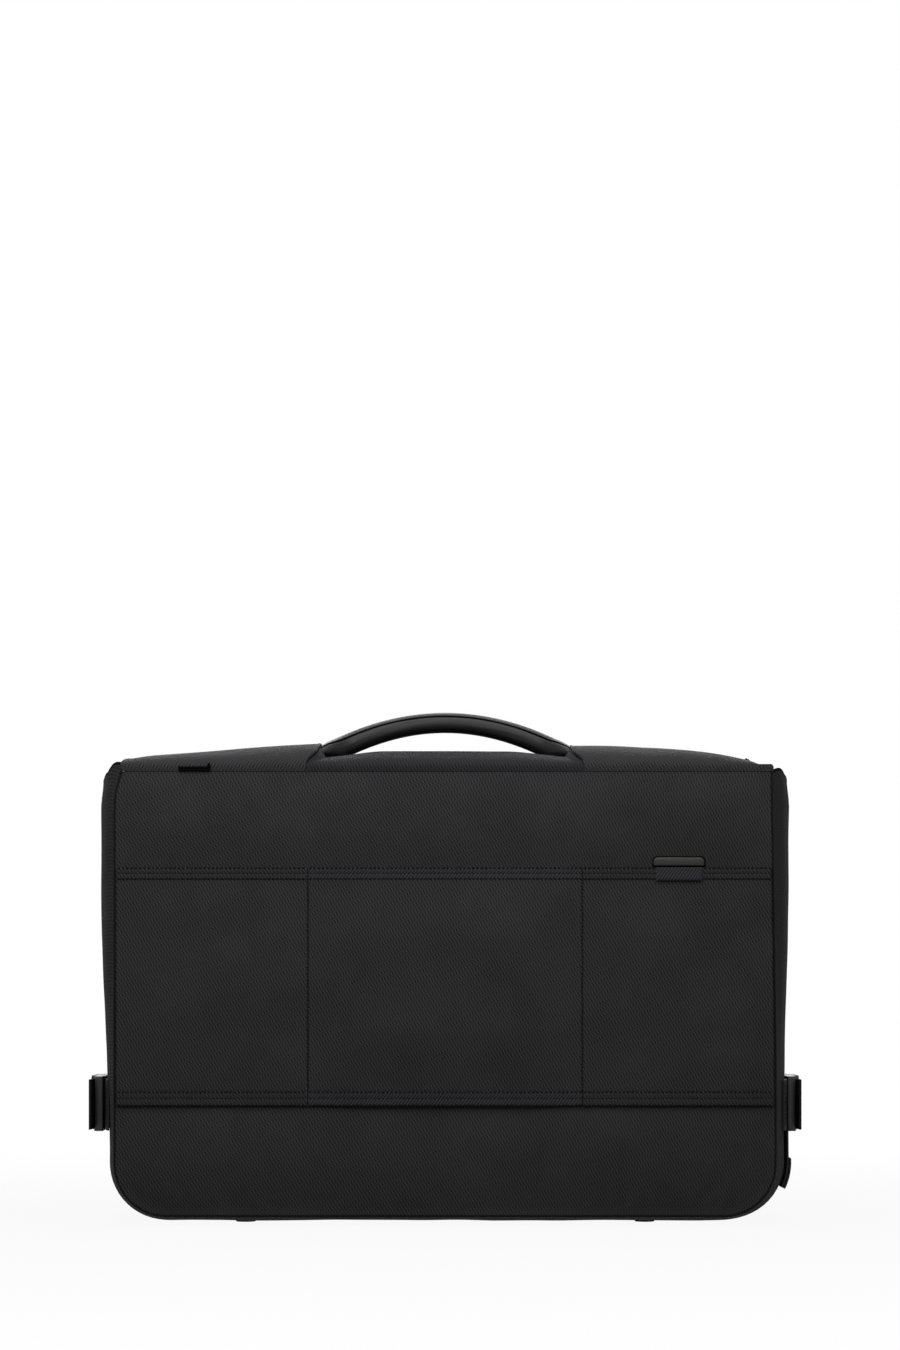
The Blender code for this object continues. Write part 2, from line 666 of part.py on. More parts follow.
def build_handle(spine_axis, handle_axis):
    """The padded grip on its steel core, and the anchors that hold the core's ends."""
    for side_name, side in SIDES.items():
        name = "handle_anchor_" + side_name
        plate_low = WELL_FLOOR + 2 * SEAM_GAP
        low, high = side_box(side, (EAR_X - ANCHOR_LENGTH / 2, EAR_X + ANCHOR_LENGTH / 2),
                             (-ANCHOR_WIDTH / 2, ANCHOR_WIDTH / 2), (plate_low, plate_low + ANCHOR_THICK))
        anchor = span_box(name, low, high, ACETAL, spine_axis)
        ear = [(-EAR_RADIUS, plate_low + ANCHOR_THICK / 2), (EAR_RADIUS, plate_low + ANCHOR_THICK / 2)]
        ear += arc((0, HANDLE_AXIS), EAR_RADIUS, 0, pi)
        ear_x = side * EAR_X
        bm = plate_mesh(name, ear, ear_x - EAR_THICK / 2, ear_x + EAR_THICK / 2, along_x=True)
        combine(anchor, add_piece(name + "_ear", bm, None, cutter=True), "UNION")
        hole = x_rod(name + "_hole", CORE_RADIUS + PIN_CLEARANCE, ear_x - EAR_THICK, ear_x + EAR_THICK,
                     0, HANDLE_AXIS, cutter=True, segments=16)
        combine(anchor, hole, "DIFFERENCE")

    steps = 24
    arch_points = []
    for step in range(steps + 1):
        x = HANDLE_SPAN * (step / steps - 0.5)
        arch_points.append((x, 0.0, handle_line(x)))
    pin_end = EAR_X + CORE_PIN_REACH
    core = [(-pin_end, 0.0, HANDLE_AXIS), *arch_points, (pin_end, 0.0, HANDLE_AXIS)]
    add_piece("handle_core", cord_mesh("handle_core", core, CORE_RADIUS), STEEL, handle_axis)
    bm = cord_mesh("handle_bore", arch_points, CORE_RADIUS + CORE_CLEARANCE)
    bore = add_piece("handle_bore", bm, None, cutter=True)

    rows = 16
    sides = 14
    bm = bmesh.new()
    bmesh.ops.create_grid(bm, x_segments=rows, y_segments=sides, size=1.0)
    for vert in bm.verts:
        share = abs(vert.co.x)
        angle = vert.co.y * pi
        x = vert.co.x * GRIP_LENGTH / 2
        half_width = GRIP_WIDTH / 2 * (1 - GRIP_WIDTH_TAPER * share ** 4)
        bloat = 1 + GRIP_HEIGHT_SWELL * share ** 2 - GRIP_HEIGHT_TAPER * share ** 6
        half_height = GRIP_HEIGHT / 2 * bloat
        vert.co = (x, half_width * cos(angle), handle_line(x) + half_height * sin(angle))
    bmesh.ops.remove_doubles(bm, verts=bm.verts, dist=0.00001)
    bmesh.ops.holes_fill(bm, edges=[edge for edge in bm.edges if edge.is_boundary])
    grip = add_piece("handle_grip", bm, TWILL, handle_axis)
    combine(grip, bore, "DIFFERENCE")


def build_strap(name, side, facing, axis):
    """Webbing sewn to the gusset, which runs to a buckle's bar and folds back over it."""
    loop_y = FRAME_SLOT_Y
    bend = WEBBING_BEND
    run = []
    steps = 4
    peak_y = HALF_DEPTH - SWELL_PEAK
    for step in range(steps + 1):
        y = STRAP_ANCHOR_Y + (peak_y - STRAP_ANCHOR_Y) * step / steps
        run.append((side_surface(HALF_DEPTH - y) + STRAP_GAP + WEBBING_THICK / 2, y))
    run += [(STRAP_IN, loop_y + bend), (STRAP_IN + bend, loop_y)]
    run += [(STRAP_OUT - bend, loop_y), (STRAP_OUT, loop_y + bend), (STRAP_OUT, STRAP_TAIL_Y)]

    def strap_point(along, across):
        """A point on the strap, which follows its run on edge."""
        x, y = run[round(along * (len(run) - 1))]
        return (side * x, facing * y, BUCKLE_Z + (across - 0.5) * WEBBING_WIDTH)

    sheet(name, len(run) - 1, 1, strap_point, WEBBING_THICK, WEBBING, axis)


def webbing_frame(name, side, facing, y_inner, axis):
    """The open end of a buckle half, with the bar that the webbing goes round."""
    half = BUCKLE_WIDTH / 2
    low, high = side_box(side, (FRAME_IN, FRAME_IN + FRAME_THICK),
                         (facing * FRAME_END_Y, y_inner), (BUCKLE_Z - half, BUCKLE_Z + half))
    frame = span_box(name, low, high, ACETAL, axis)
    slot_half = half - FRAME_RAIL
    low, high = side_box(side, (FRAME_IN - FRAME_THICK, FRAME_IN + 2 * FRAME_THICK),
                         (facing * (FRAME_SLOT_Y - FRAME_SLOT / 2), facing * (FRAME_SLOT_Y + FRAME_SLOT / 2)),
                         (BUCKLE_Z - slot_half, BUCKLE_Z + slot_half))
    return frame, span_box(name + "_slot", low, high, cutter=True)


def build_buckle(side_name, front_axis, prong_axes):
    """One side-release buckle: the male half with its two prongs, and the female half."""
    side = SIDES[side_name]
    name = "male_buckle_" + side_name
    male, slot = webbing_frame(name, side, REAR, MALE_FRONT_Y, None)
    combine(male, slot, "DIFFERENCE")
    bevel(male, FRAME_EDGE, 1)

    name = "female_buckle_" + side_name
    female, slot = webbing_frame(name, side, FRONT, HOUSING_END_Y / 2, front_axis)
    half = BUCKLE_WIDTH / 2
    low, high = side_box(side, (FRAME_IN, BUCKLE_OUT), (FEMALE_MOUTH_Y, HOUSING_END_Y),
                         (BUCKLE_Z - half, BUCKLE_Z + half))
    housing = span_box(name + "_housing", low, high, cutter=True, round_edge=HOUSING_EDGE)
    combine(female, housing, "UNION")
    cavity_x = (FRAME_IN + HOUSING_WALL, BUCKLE_OUT - HOUSING_WALL)
    cavity_half = half - HOUSING_WALL - FRAME_RAIL
    low, high = side_box(side, cavity_x, (FEMALE_MOUTH_Y - HOUSING_WALL, FEMALE_MOUTH_Y + POCKET_DEPTH),
                         (BUCKLE_Z - cavity_half, BUCKLE_Z + cavity_half))
    cavity = span_box(name + "_cavity", low, high, cutter=True)
    window_y = FEMALE_MOUTH_Y + WINDOW_START
    low, high = side_box(side, cavity_x, (window_y, window_y + WINDOW_LENGTH),
                         (BUCKLE_Z - BUCKLE_WIDTH, BUCKLE_Z + BUCKLE_WIDTH))
    window = span_box(name + "_windows", low, high, cutter=True)
    for cutter in (cavity, window, slot):
        combine(female, cutter, "DIFFERENCE")

    prong_x = sorted(side * (x + gap) for x, gap in
                     zip(cavity_x, (PRONG_SIDE_GAP, -PRONG_SIDE_GAP)))
    root_y = MALE_FRONT_Y + PRONG_ROOT_GAP
    tip_y = root_y + PRONG_LENGTH
    arm_in = PRONG_Z - PRONG_ARM / 2
    arm_out = PRONG_Z + PRONG_ARM / 2
    barb_y = tip_y - PRONG_BARB
    profile = [(root_y, arm_in), (tip_y, arm_in), (tip_y, arm_out)]
    profile += [(tip_y - PRONG_BARB / 2, PRONG_REACH), (barb_y, PRONG_REACH), (barb_y, arm_out)]
    profile += [(root_y, arm_out)]
    for prong_name, up in (("upper", 1), ("lower", -1)):
        outline = [(y, BUCKLE_Z + up * z) for y, z in profile]
        name = "buckle_prong_" + side_name + "_" + prong_name
        plate(name, outline, *prong_x, ACETAL, prong_axes[side_name, prong_name], along_x=True)


def build_tail():
    """The hemmed end of the right strap, which hangs down the side and turns in with the corner."""
    top = BUCKLE_Z - WEBBING_WIDTH / 2 - SEAM_GAP
    centre_y = SWELL_PEAK - HALF_DEPTH
    centre_x = HALF_WIDTH - CORNER_RADIUS
    centre_z = PANEL_BOTTOM + CORNER_RADIUS
    lift = GUSSET_WALL / 2 + STRAP_GAP + WEBBING_THICK / 2
    run = []
    for step in range(TAIL_STEPS + 1):
        height = top + (centre_z - top) * step / TAIL_STEPS
        run.append((HALF_WIDTH + gusset_offset((1.0, 0.0), height, PEAK_ACROSS) + lift, height))
    for normal in arc((0, 0), 1.0, 0.0, -TAIL_TURN)[1:]:
        height = centre_z + CORNER_RADIUS * normal[1]
        reach = CORNER_RADIUS + gusset_offset(normal, height, PEAK_ACROSS) + lift
        run.append((centre_x + reach * normal[0], centre_z + reach * normal[1]))

    def tail_point(along, down):
        """A point on the hanging webbing."""
        x, z = run[round(down * (len(run) - 1))]
        return (x, centre_y + (along - 0.5) * WEBBING_WIDTH, z)

    sheet("strap_tail_right", 1, len(run) - 1, tail_point, WEBBING_THICK, WEBBING)


def build_pocket(axis, slider_axis, pull_axis):
    """The zipped pocket on the front panel."""
    face = HALF_DEPTH + SEAM_GAP

    def pocket_point(along, up):
        """A point on the pocket's panel, which swells a little over an empty pocket."""
        swell = POCKET_SWELL * sin(pi * along) * sin(pi * up)
        return ((along - 0.5) * POCKET_WIDTH, face + POCKET_THICK / 2 + swell,
                POCKET_BOTTOM + up * (POCKET_TOP - SEAM_GAP - POCKET_BOTTOM))

    sheet("front_pocket", 10, 8, pocket_point, POCKET_THICK, TWILL, axis)

    half = ZIP_LENGTH / 2
    for tape_name, low_z in (("lower", POCKET_TOP), ("upper", ZIP_Z + ZIP_SLOT / 2)):
        span_box("zip_tape_" + tape_name, (-half, face, low_z),
                 (half, face + TAPE_THICK, low_z + TAPE_HEIGHT), WEBBING, axis)
    coil_y = face + TAPE_THICK + SEAM_GAP
    span_box("zip_coil", (-half, coil_y, ZIP_Z - COIL_HEIGHT / 2),
             (half, coil_y + COIL_THICK, ZIP_Z + COIL_HEIGHT / 2), ACETAL, axis)
    slider_y = coil_y + COIL_THICK + SEAM_GAP
    span_box("zip_slider", (SLIDER_X - SLIDER_LENGTH / 2, slider_y, ZIP_Z - SLIDER_HEIGHT / 2),
             (SLIDER_X + SLIDER_LENGTH / 2, slider_y + SLIDER_THICK, ZIP_Z + SLIDER_HEIGHT / 2),
             STEEL, slider_axis, round_edge=SLIDER_EDGE)
    pull_out = HALF_DEPTH + OUTER_STACK
    pull_half = PULL_WIDTH / 2
    pull_top = ZIP_Z + PULL_EYE_MARGIN
    outline = [(SLIDER_X - pull_half, pull_top), (SLIDER_X - pull_half, pull_top - PULL_LENGTH + pull_half)]
    outline += arc((SLIDER_X, pull_top - PULL_LENGTH + pull_half), pull_half, pi, 2 * pi)
    outline += [(SLIDER_X + pull_half, pull_top)]
    plate("zip_pull", outline, pull_out - PULL_THICK, pull_out, STEEL, pull_axis)


def build_clamp(front_axis, lever_axis):
    """The clamp that holds coat hangers, screwed to the board inside the front section."""
    half = CLAMP_WIDTH / 2
    plate_low = CLAMP_HEIGHT - CLAMP_PLATE_HEIGHT / 2
    plate_high = CLAMP_HEIGHT + CLAMP_PLATE_HEIGHT / 2
    inner_y = CLAMP_BACK_Y - CLAMP_PLATE_THICK
    base = span_box("hanger_clamp_base", (-half, inner_y, plate_low), (half, CLAMP_BACK_Y, plate_high),
                    ACETAL, front_axis)
    ear_low = plate_high - CLAMP_EAR_HEIGHT
    ear_in = half - CLAMP_EAR_THICK
    for side_name, side in SIDES.items():
        ear_y = (inner_y - CLAMP_EAR_REACH, inner_y + CLAMP_PLATE_THICK / 2)
        low, high = side_box(side, (ear_in, half), ear_y, (ear_low, plate_high))
        combine(base, span_box("clamp_ear_" + side_name, low, high, cutter=True), "UNION")
    hole = x_rod("clamp_hole", CLAMP_PIN_RADIUS + PIN_CLEARANCE, -CLAMP_WIDTH, CLAMP_WIDTH,
                 CLAMP_PIN_Y, CLAMP_PIN_Z, cutter=True, segments=16)
    combine(base, hole, "DIFFERENCE")

    lever_half = ear_in - 2 * SEAM_GAP
    lever = span_box("hanger_clamp_lever",
                     (-lever_half, CLAMP_PIN_Y - LEVER_THICK / 2, CLAMP_PIN_Z - LEVER_LENGTH),
                     (lever_half, CLAMP_PIN_Y + LEVER_THICK / 2, CLAMP_PIN_Z), ACETAL, lever_axis)
    pin = x_rod("clamp_pin", CLAMP_PIN_RADIUS, -half, half, CLAMP_PIN_Y, CLAMP_PIN_Z,
                cutter=True, segments=16)
    combine(lever, pin, "UNION")


def build_bag():
    """Builds every piece on the axis that it moves about."""
    spine_axis = add_axis("fold_spine_axis", (0.0, -HALF_DEPTH, FOLD_HEIGHT))
    front_axis = add_axis("fold_front_axis", (0.0, HALF_DEPTH, FOLD_HEIGHT), spine_axis)
    handle_axis = add_axis("handle_axis", (0.0, 0.0, HANDLE_AXIS), spine_axis)
    slider_axis = add_axis("zip_slider_axis", (SLIDER_X, HALF_DEPTH, ZIP_Z), front_axis)
    pull_y = HALF_DEPTH + OUTER_STACK - PULL_THICK / 2
    pull_axis = add_axis("zip_pull_axis", (SLIDER_X, pull_y, ZIP_Z), slider_axis)
    lever_axis = add_axis("hanger_lever_axis", (0.0, CLAMP_PIN_Y, CLAMP_PIN_Z), front_axis)
    prong_axes = {}
    prong_x = (FRAME_IN + BUCKLE_OUT) / 2
    for side_name, side in SIDES.items():
        for prong_name, up in (("upper", 1), ("lower", -1)):
            place = (side * prong_x, MALE_FRONT_Y, BUCKLE_Z + up * PRONG_Z)
            axis_name = "prong_axis_" + side_name + "_" + prong_name
            prong_axes[side_name, prong_name] = add_axis(axis_name, place)

    build_section("rear", REAR, None)
    build_section("front", FRONT, front_axis)
    build_sleeve()
    build_spine(spine_axis)
    build_handle(spine_axis, handle_axis)
    for side_name, side in SIDES.items():
        build_strap("rear_strap_" + side_name, side, REAR, None)
        build_strap("front_strap_" + side_name, side, FRONT, front_axis)
        build_buckle(side_name, front_axis, prong_axes)
    build_tail()
    build_pocket(front_axis, slider_axis, pull_axis)
    build_clamp(front_axis, lever_axis)


build_bag()
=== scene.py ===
"""Looks of a folding garment bag: its cloth, webbing, buckles, zip and studio.

Metres, +Z up. The bag stands closed on its feet, centred on the origin. The rear
section, with the trolley sleeve, faces the camera at -Y and the front section is at +Y.
"""

from __future__ import annotations

import logging
from dataclasses import dataclass, field
from enum import Enum
from functools import lru_cache
from math import cos, exp, hypot, pi, radians, sin, sqrt
from typing import Callable, Iterable, Sequence

import bpy
import numpy as np
from mathutils import Matrix, Vector, noise


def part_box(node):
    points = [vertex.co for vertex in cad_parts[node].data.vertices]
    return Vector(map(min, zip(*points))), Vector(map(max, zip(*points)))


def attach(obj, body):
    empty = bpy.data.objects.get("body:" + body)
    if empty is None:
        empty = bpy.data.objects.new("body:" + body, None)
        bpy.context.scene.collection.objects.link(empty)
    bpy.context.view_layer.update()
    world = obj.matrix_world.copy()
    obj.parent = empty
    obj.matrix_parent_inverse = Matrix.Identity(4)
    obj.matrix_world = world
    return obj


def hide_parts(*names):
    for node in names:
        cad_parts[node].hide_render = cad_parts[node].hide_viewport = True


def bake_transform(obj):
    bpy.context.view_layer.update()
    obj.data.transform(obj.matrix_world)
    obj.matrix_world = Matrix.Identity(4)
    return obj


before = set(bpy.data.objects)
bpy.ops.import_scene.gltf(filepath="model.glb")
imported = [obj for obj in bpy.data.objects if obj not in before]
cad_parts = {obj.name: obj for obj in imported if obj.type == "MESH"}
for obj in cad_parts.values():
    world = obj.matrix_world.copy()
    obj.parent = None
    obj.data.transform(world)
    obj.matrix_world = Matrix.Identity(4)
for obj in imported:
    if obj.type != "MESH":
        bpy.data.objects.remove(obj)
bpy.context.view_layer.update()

LOG = logging.getLogger("garment_bag")
SEAM_GAP = 0.0003
TEXTURE_MM = 1000.0
SWELL_FRAMES = 18

Object = bpy.types.Object
Material = bpy.types.Material
Place = Callable[[float, float], Sequence[float]]
Colour = tuple[float, float, float, float]


class Facing(Enum):
    """Half of the closed bag, by the side that its outer panel faces."""

    REAR = -1
    FRONT = 1

    @property
    def word(self) -> str:
        """The half's name in the frame."""
        return self.name.lower()

    @property
    def body(self) -> str:
        """The body that the half's pieces ride on."""
        return self.word + "_section"


class Side(Enum):
    """End of the bag, along X."""

    LEFT = -1
    RIGHT = 1

    @property
    def word(self) -> str:
        """The end's name in the frame."""
        return self.name.lower()


class Pattern(Enum):
    """How a cloth's threads cross."""

    DOBBY = "broken diagonal lines"
    TWILL = "diagonal ribs"
    RIB = "ribs across the length, as on webbing"
    PLAIN = "square over-and-under weave"


def hex_to_linear(code: str) -> Colour:
    """Turn an sRGB hex colour into linear light.

    Args:
        code: Six hex digits after a hash sign.

    Returns:
        Linear red, green and blue with an alpha of one.
    """
    channels = [int(code[at:at + 2], 16) / 255 for at in (1, 3, 5)]
    linear = [c / 12.92 if c <= 0.04045 else ((c + 0.055) / 1.055) ** 2.4 for c in channels]
    return (*linear, 1.0)


def add_node(tree: bpy.types.NodeTree, kind: str, settings: dict | None = None,
             links: dict | None = None) -> bpy.types.Node:
    """Add a node with its settings and links.

    Args:
        tree: Node tree that takes the node.
        kind: Blender's name for the node.
        settings: Values for the node's own options, or for inputs by name or number.
        links: Sockets to join to inputs, by the input's name or number.

    Returns:
        The new node.
    """
    node = tree.nodes.new(kind)
    for key, value in (settings or {}).items():
        if isinstance(key, str) and hasattr(node, key):
            setattr(node, key, value)
        else:
            node.inputs[key].default_value = value
    for key, socket in (links or {}).items():
        tree.links.new(socket, node.inputs[key])
    return node


def start_material(name: str, constants: dict) -> tuple[Material, bpy.types.Node]:
    """Make a material whose Principled shader already holds its constant values.

    Args:
        name: Name of the finish.
        constants: Values for the shader's sockets.

    Returns:
        The material and its Principled node.
    """
    material = bpy.data.materials.new(name)
    material.use_nodes = True
    shader = material.node_tree.nodes["Principled BSDF"]
    for key, value in constants.items():
        shader.inputs[key].default_value = value
    return material, shader


@dataclass(frozen=True)
class WovenCloth:
    """Woven polyester: matt threads with dark gaps and a faint sheen at grazing angles."""

    name: str
    thread: str
    gap: str
    pattern: Pattern
    pitch_mm: float
    relief_mm: float = 0.2
    roughness: float = 0.85
    specular: float = 0.05
    sheen: float = 0.0
    mottle_mm: float = 40.0
    mottle: float = 0.08

    @lru_cache(maxsize=None)
    def material(self) -> Material:
        """Build the cloth's material on the piece's own UV map, which is in metres."""
        material, shader = start_material(self.name, {
            "Sheen Weight": self.sheen, "Sheen Roughness": 0.5,
            "Specular IOR Level": self.specular, "IOR": 1.5})
        tree = material.node_tree
        place = add_node(tree, "ShaderNodeTexCoord")
        height = self.thread_height(tree, place.outputs["UV"])
        cloud = add_node(tree, "ShaderNodeTexNoise",
                         {"Scale": TEXTURE_MM / self.mottle_mm, "Detail": 3.0},
                         {"Vector": place.outputs["Object"]})
        lit = add_node(tree, "ShaderNodeMapRange",
                       {"From Min": 0.3, "From Max": 0.7, "To Min": -self.mottle, "To Max": self.mottle},
                       {"Value": cloud.outputs["Fac"]})
        share = add_node(tree, "ShaderNodeMath", {"operation": "ADD", "use_clamp": True},
                         {0: height, 1: lit.outputs["Result"]})
        colour = add_node(tree, "ShaderNodeMix",
                          {"data_type": "RGBA", 6: hex_to_linear(self.gap), 7: hex_to_linear(self.thread)},
                          {0: share.outputs["Value"]})
        rough = add_node(tree, "ShaderNodeMapRange",
                         {"To Min": self.roughness + 0.06, "To Max": self.roughness - 0.06},
                         {"Value": height})
        bump = add_node(tree, "ShaderNodeBump",
                        {"Strength": 0.7, "Distance": self.relief_mm / TEXTURE_MM}, {"Height": height})
        tree.links.new(colour.outputs[2], shader.inputs["Base Color"])
        tree.links.new(rough.outputs["Result"], shader.inputs["Roughness"])
        tree.links.new(bump.outputs["Normal"], shader.inputs["Normal"])
        return material

    def thread_height(self, tree: bpy.types.NodeTree, uv: bpy.types.NodeSocket) -> bpy.types.NodeSocket:
        """Lay out the threads.

        Args:
            tree: Node tree of the cloth.
            uv: Surface coordinates in metres.

        Returns:
            A socket from 0 in the gaps to 1 on top of a thread.
        """
        turn = {Pattern.DOBBY: radians(60), Pattern.TWILL: radians(35)}.get(self.pattern, 0.0)
        scale = TEXTURE_MM / self.pitch_mm
        turned = add_node(tree, "ShaderNodeMapping",
                          {"Rotation": (0.0, 0.0, turn), "Scale": (scale, scale, scale)}, {"Vector": uv})
        split = add_node(tree, "ShaderNodeSeparateXYZ", links={"Vector": turned.outputs["Vector"]})
        waves = []
        finer_x = 0.5 if self.pattern is Pattern.DOBBY else 1.0
        finer_y = 2.0 if self.pattern is Pattern.RIB else 1.0
        for axis, finer in (("X", finer_x), ("Y", finer_y)):
            phase = add_node(tree, "ShaderNodeMath", {"operation": "MULTIPLY", 1: 2 * pi * finer},
                             {0: split.outputs[axis]})
            waves.append(add_node(tree, "ShaderNodeMath", {"operation": "SINE"}, {0: phase.outputs["Value"]}))
        first, second = (wave.outputs["Value"] for wave in waves)
        if self.pattern is Pattern.PLAIN:
            crossed = add_node(tree, "ShaderNodeMath", {"operation": "MULTIPLY"}, {0: first, 1: second})
        elif self.pattern is Pattern.DOBBY:
            breaks = add_node(tree, "ShaderNodeMath", {"operation": "MULTIPLY_ADD", 1: 0.5, 2: 0.5},
                              {0: first})
            crossed = add_node(tree, "ShaderNodeMath", {"operation": "MULTIPLY"},
                               {0: second, 1: breaks.outputs["Value"]})
        else:
            crossed = add_node(tree, "ShaderNodeMath", {"operation": "MULTIPLY_ADD", 1: 0.3},
                               {0: second, 2: first})
        spread = add_node(tree, "ShaderNodeMapRange", {"From Min": -1.0, "From Max": 1.0},
                          {"Value": crossed.outputs["Value"]})
        return spread.outputs["Result"]


@dataclass(frozen=True)
class MouldedPlastic:
    """Injection-moulded plastic or rubber: even colour, fine spark-eroded grain, soft gloss."""

    name: str
    colour: str
    worn: str
    roughness: float
    grain_mm: float = 0.9
    relief_mm: float = 0.03
    specular: float = 0.5
    coat: float = 0.0

    @lru_cache(maxsize=None)
    def material(self) -> Material:
        """Build the plastic's material on Object coordinates."""
        material, shader = start_material(self.name, {
            "Specular IOR Level": self.specular, "IOR": 1.48,
            "Coat Weight": self.coat, "Coat Roughness": 0.15})
        tree = material.node_tree
        place = add_node(tree, "ShaderNodeTexCoord")
        grain = add_node(tree, "ShaderNodeTexNoise", {"Scale": TEXTURE_MM / self.grain_mm, "Detail": 2.0},
                         {"Vector": place.outputs["Object"]})
        handling = add_node(tree, "ShaderNodeTexNoise", {"Scale": TEXTURE_MM / 18.0, "Detail": 4.0},
                            {"Vector": place.outputs["Object"]})
        colour = add_node(tree, "ShaderNodeMix",
                          {"data_type": "RGBA", 6: hex_to_linear(self.colour), 7: hex_to_linear(self.worn)},
                          {0: handling.outputs["Fac"]})
        rough = add_node(tree, "ShaderNodeMapRange",
                         {"From Min": 0.3, "From Max": 0.7, "To Min": self.roughness - 0.07,
                          "To Max": self.roughness + 0.07}, {"Value": handling.outputs["Fac"]})
        bump = add_node(tree, "ShaderNodeBump", {"Strength": 0.4, "Distance": self.relief_mm / TEXTURE_MM},
                        {"Height": grain.outputs["Fac"]})
        tree.links.new(colour.outputs[2], shader.inputs["Base Color"])
        tree.links.new(rough.outputs["Result"], shader.inputs["Roughness"])
        tree.links.new(bump.outputs["Normal"], shader.inputs["Normal"])
        return material


@dataclass(frozen=True)
class PlatedSteel:
    """Nickel-plated steel: grey metal with faint drawing marks along its length."""

    name: str
    colour: str
    dull: str
    roughness: float

    @lru_cache(maxsize=None)
    def material(self) -> Material:
        """Build the metal's material on Object coordinates."""
        material, shader = start_material(self.name, {"Metallic": 1.0})
        tree = material.node_tree
        place = add_node(tree, "ShaderNodeTexCoord")
        drawn = add_node(tree, "ShaderNodeMapping", {"Scale": (120.0, 1800.0, 1800.0)},
                         {"Vector": place.outputs["Object"]})
        marks = add_node(tree, "ShaderNodeTexNoise", {"Scale": 1.0, "Detail": 3.0},
                         {"Vector": drawn.outputs["Vector"]})
        colour = add_node(tree, "ShaderNodeMix",
                          {"data_type": "RGBA", 6: hex_to_linear(self.dull), 7: hex_to_linear(self.colour)},
                          {0: marks.outputs["Fac"]})
        rough = add_node(tree, "ShaderNodeMapRange",
                         {"To Min": self.roughness + 0.1, "To Max": self.roughness - 0.1},
                         {"Value": marks.outputs["Fac"]})
        tree.links.new(colour.outputs[2], shader.inputs["Base Color"])
        tree.links.new(rough.outputs["Result"], shader.inputs["Roughness"])
        return material


# The weave's real pitch is about 1.5 mm; it is drawn a little coarser so that it shows in the render.
OUTER_CLOTH = WovenCloth("black_dobby_polyester", "#303031", "#131314", Pattern.DOBBY, 2.3, 0.24)
# Painted shade: a darker copy of the outer dobby, standing in for the handle's shadow on the well.
WELL_PAINTED_SHADE_CLOTH = WovenCloth("black_shaded_dobby_polyester", "#272729", "#0f0f10", Pattern.DOBBY, 2.3, 0.24)
TOP_CLOTH = WovenCloth("black_fine_polyester", "#2d2d2d", "#252525", Pattern.PLAIN, 1.2, 0.08)
HANDLE_CLOTH = WovenCloth("black_handle_polyester", "#2a2a2a", "#1e1e1f", Pattern.PLAIN, 1.2, 0.08, 0.6, 0.2)
BAND_CLOTH = WovenCloth("black_twill_tape", "#303033", "#1a1a1c", Pattern.TWILL, 2.0, 0.25, 0.8)
WEBBING_CLOTH = WovenCloth("black_webbing", "#232325", "#101011", Pattern.RIB, 1.6, 0.3, 0.7, 0.1)
BINDING_CLOTH = WovenCloth("black_grosgrain_binding", "#131314", "#080809", Pattern.RIB, 1.2, 0.2, 0.7)
PIPING_CLOTH = WovenCloth("black_piping_cloth", "#111112", "#070708", Pattern.PLAIN, 0.9, 0.1, 0.7)
SLIT_TAPE = WovenCloth("jet_black_slit_tape", "#070707", "#030303", Pattern.RIB, 1.2, 0.1, 0.8, 0.02)
LINING_CLOTH = WovenCloth("grey_lining_taffeta", "#5f6063", "#4c4d50", Pattern.PLAIN, 0.9, 0.08,
                          0.55, 0.2, 0.1)
THREAD = WovenCloth("black_bonded_thread", "#0c0c0d", "#060607", Pattern.TWILL, 0.6, 0.1, 0.6)
ACETAL = MouldedPlastic("black_moulded_acetal", "#0c0c0d", "#161617", 0.32, specular=0.4)
BADGE_PLASTIC = MouldedPlastic("olive_grey_moulded_plastic", "#1b1b18", "#21211e", 0.45, 0.7, 0.04, 0.2)
BOARD_PLASTIC = MouldedPlastic("black_polyethylene_board", "#26262a", "#303034", 0.55, 2.5, 0.06)
RUBBER = MouldedPlastic("black_moulded_rubber", "#121212", "#1e1e1e", 0.75, 0.6, 0.05, 0.3)
STEEL = PlatedSteel("dark_plated_steel", "#8c8d90", "#5d5e61", 0.3)
Finish = WovenCloth | MouldedPlastic | PlatedSteel


def deselect_all() -> None:
    """Leave nothing selected, so that an operator acts only on what is made next."""
    if bpy.context.object and bpy.context.object.mode != "OBJECT":
        bpy.ops.object.mode_set(mode="OBJECT")
    bpy.ops.object.select_all(action="DESELECT")


def take_up(piece: Object) -> None:
    """Select one piece alone and make it active."""
    deselect_all()
    piece.select_set(True)
    bpy.context.view_layer.objects.active = piece


def apply_modifier(piece: Object, kind: str, **settings: object) -> Object:
    """Put a modifier on a piece and apply it.

    Args:
        piece: Object to change.
        kind: Blender's name for the modifier.
        **settings: Values for the modifier.

    Returns:
        The same piece.
    """
    take_up(piece)
    modifier = piece.modifiers.new(kind.title(), kind)
    for key, value in settings.items():
        setattr(modifier, key, value)
    bpy.ops.object.modifier_apply(modifier=modifier.name)
    return piece


def face_outwards(piece: Object, merge: float = 0.0) -> Object:
    """Merge doubles if asked, and turn every face of a closed piece outwards."""
    take_up(piece)
    bpy.ops.object.mode_set(mode="EDIT")
    bpy.ops.mesh.select_all(action="SELECT")
    if merge:
        bpy.ops.mesh.remove_doubles(threshold=merge)
    bpy.ops.mesh.normals_make_consistent(inside=False)
    bpy.ops.object.mode_set(mode="OBJECT")
    return piece


def dress(piece: Object, finish: Finish, crease: float = 40.0) -> Object:
    """Give a piece its finish and smooth shading.

    Args:
        piece: Object to dress.
        finish: Finish whose material it takes.
        crease: Angle in degrees above which an edge stays sharp.

    Returns:
        The same piece.
    """
    piece.data.materials.clear()
    piece.data.materials.append(finish.material())
    take_up(piece)
    bpy.ops.object.shade_smooth_by_angle(angle=radians(crease))
    return piece


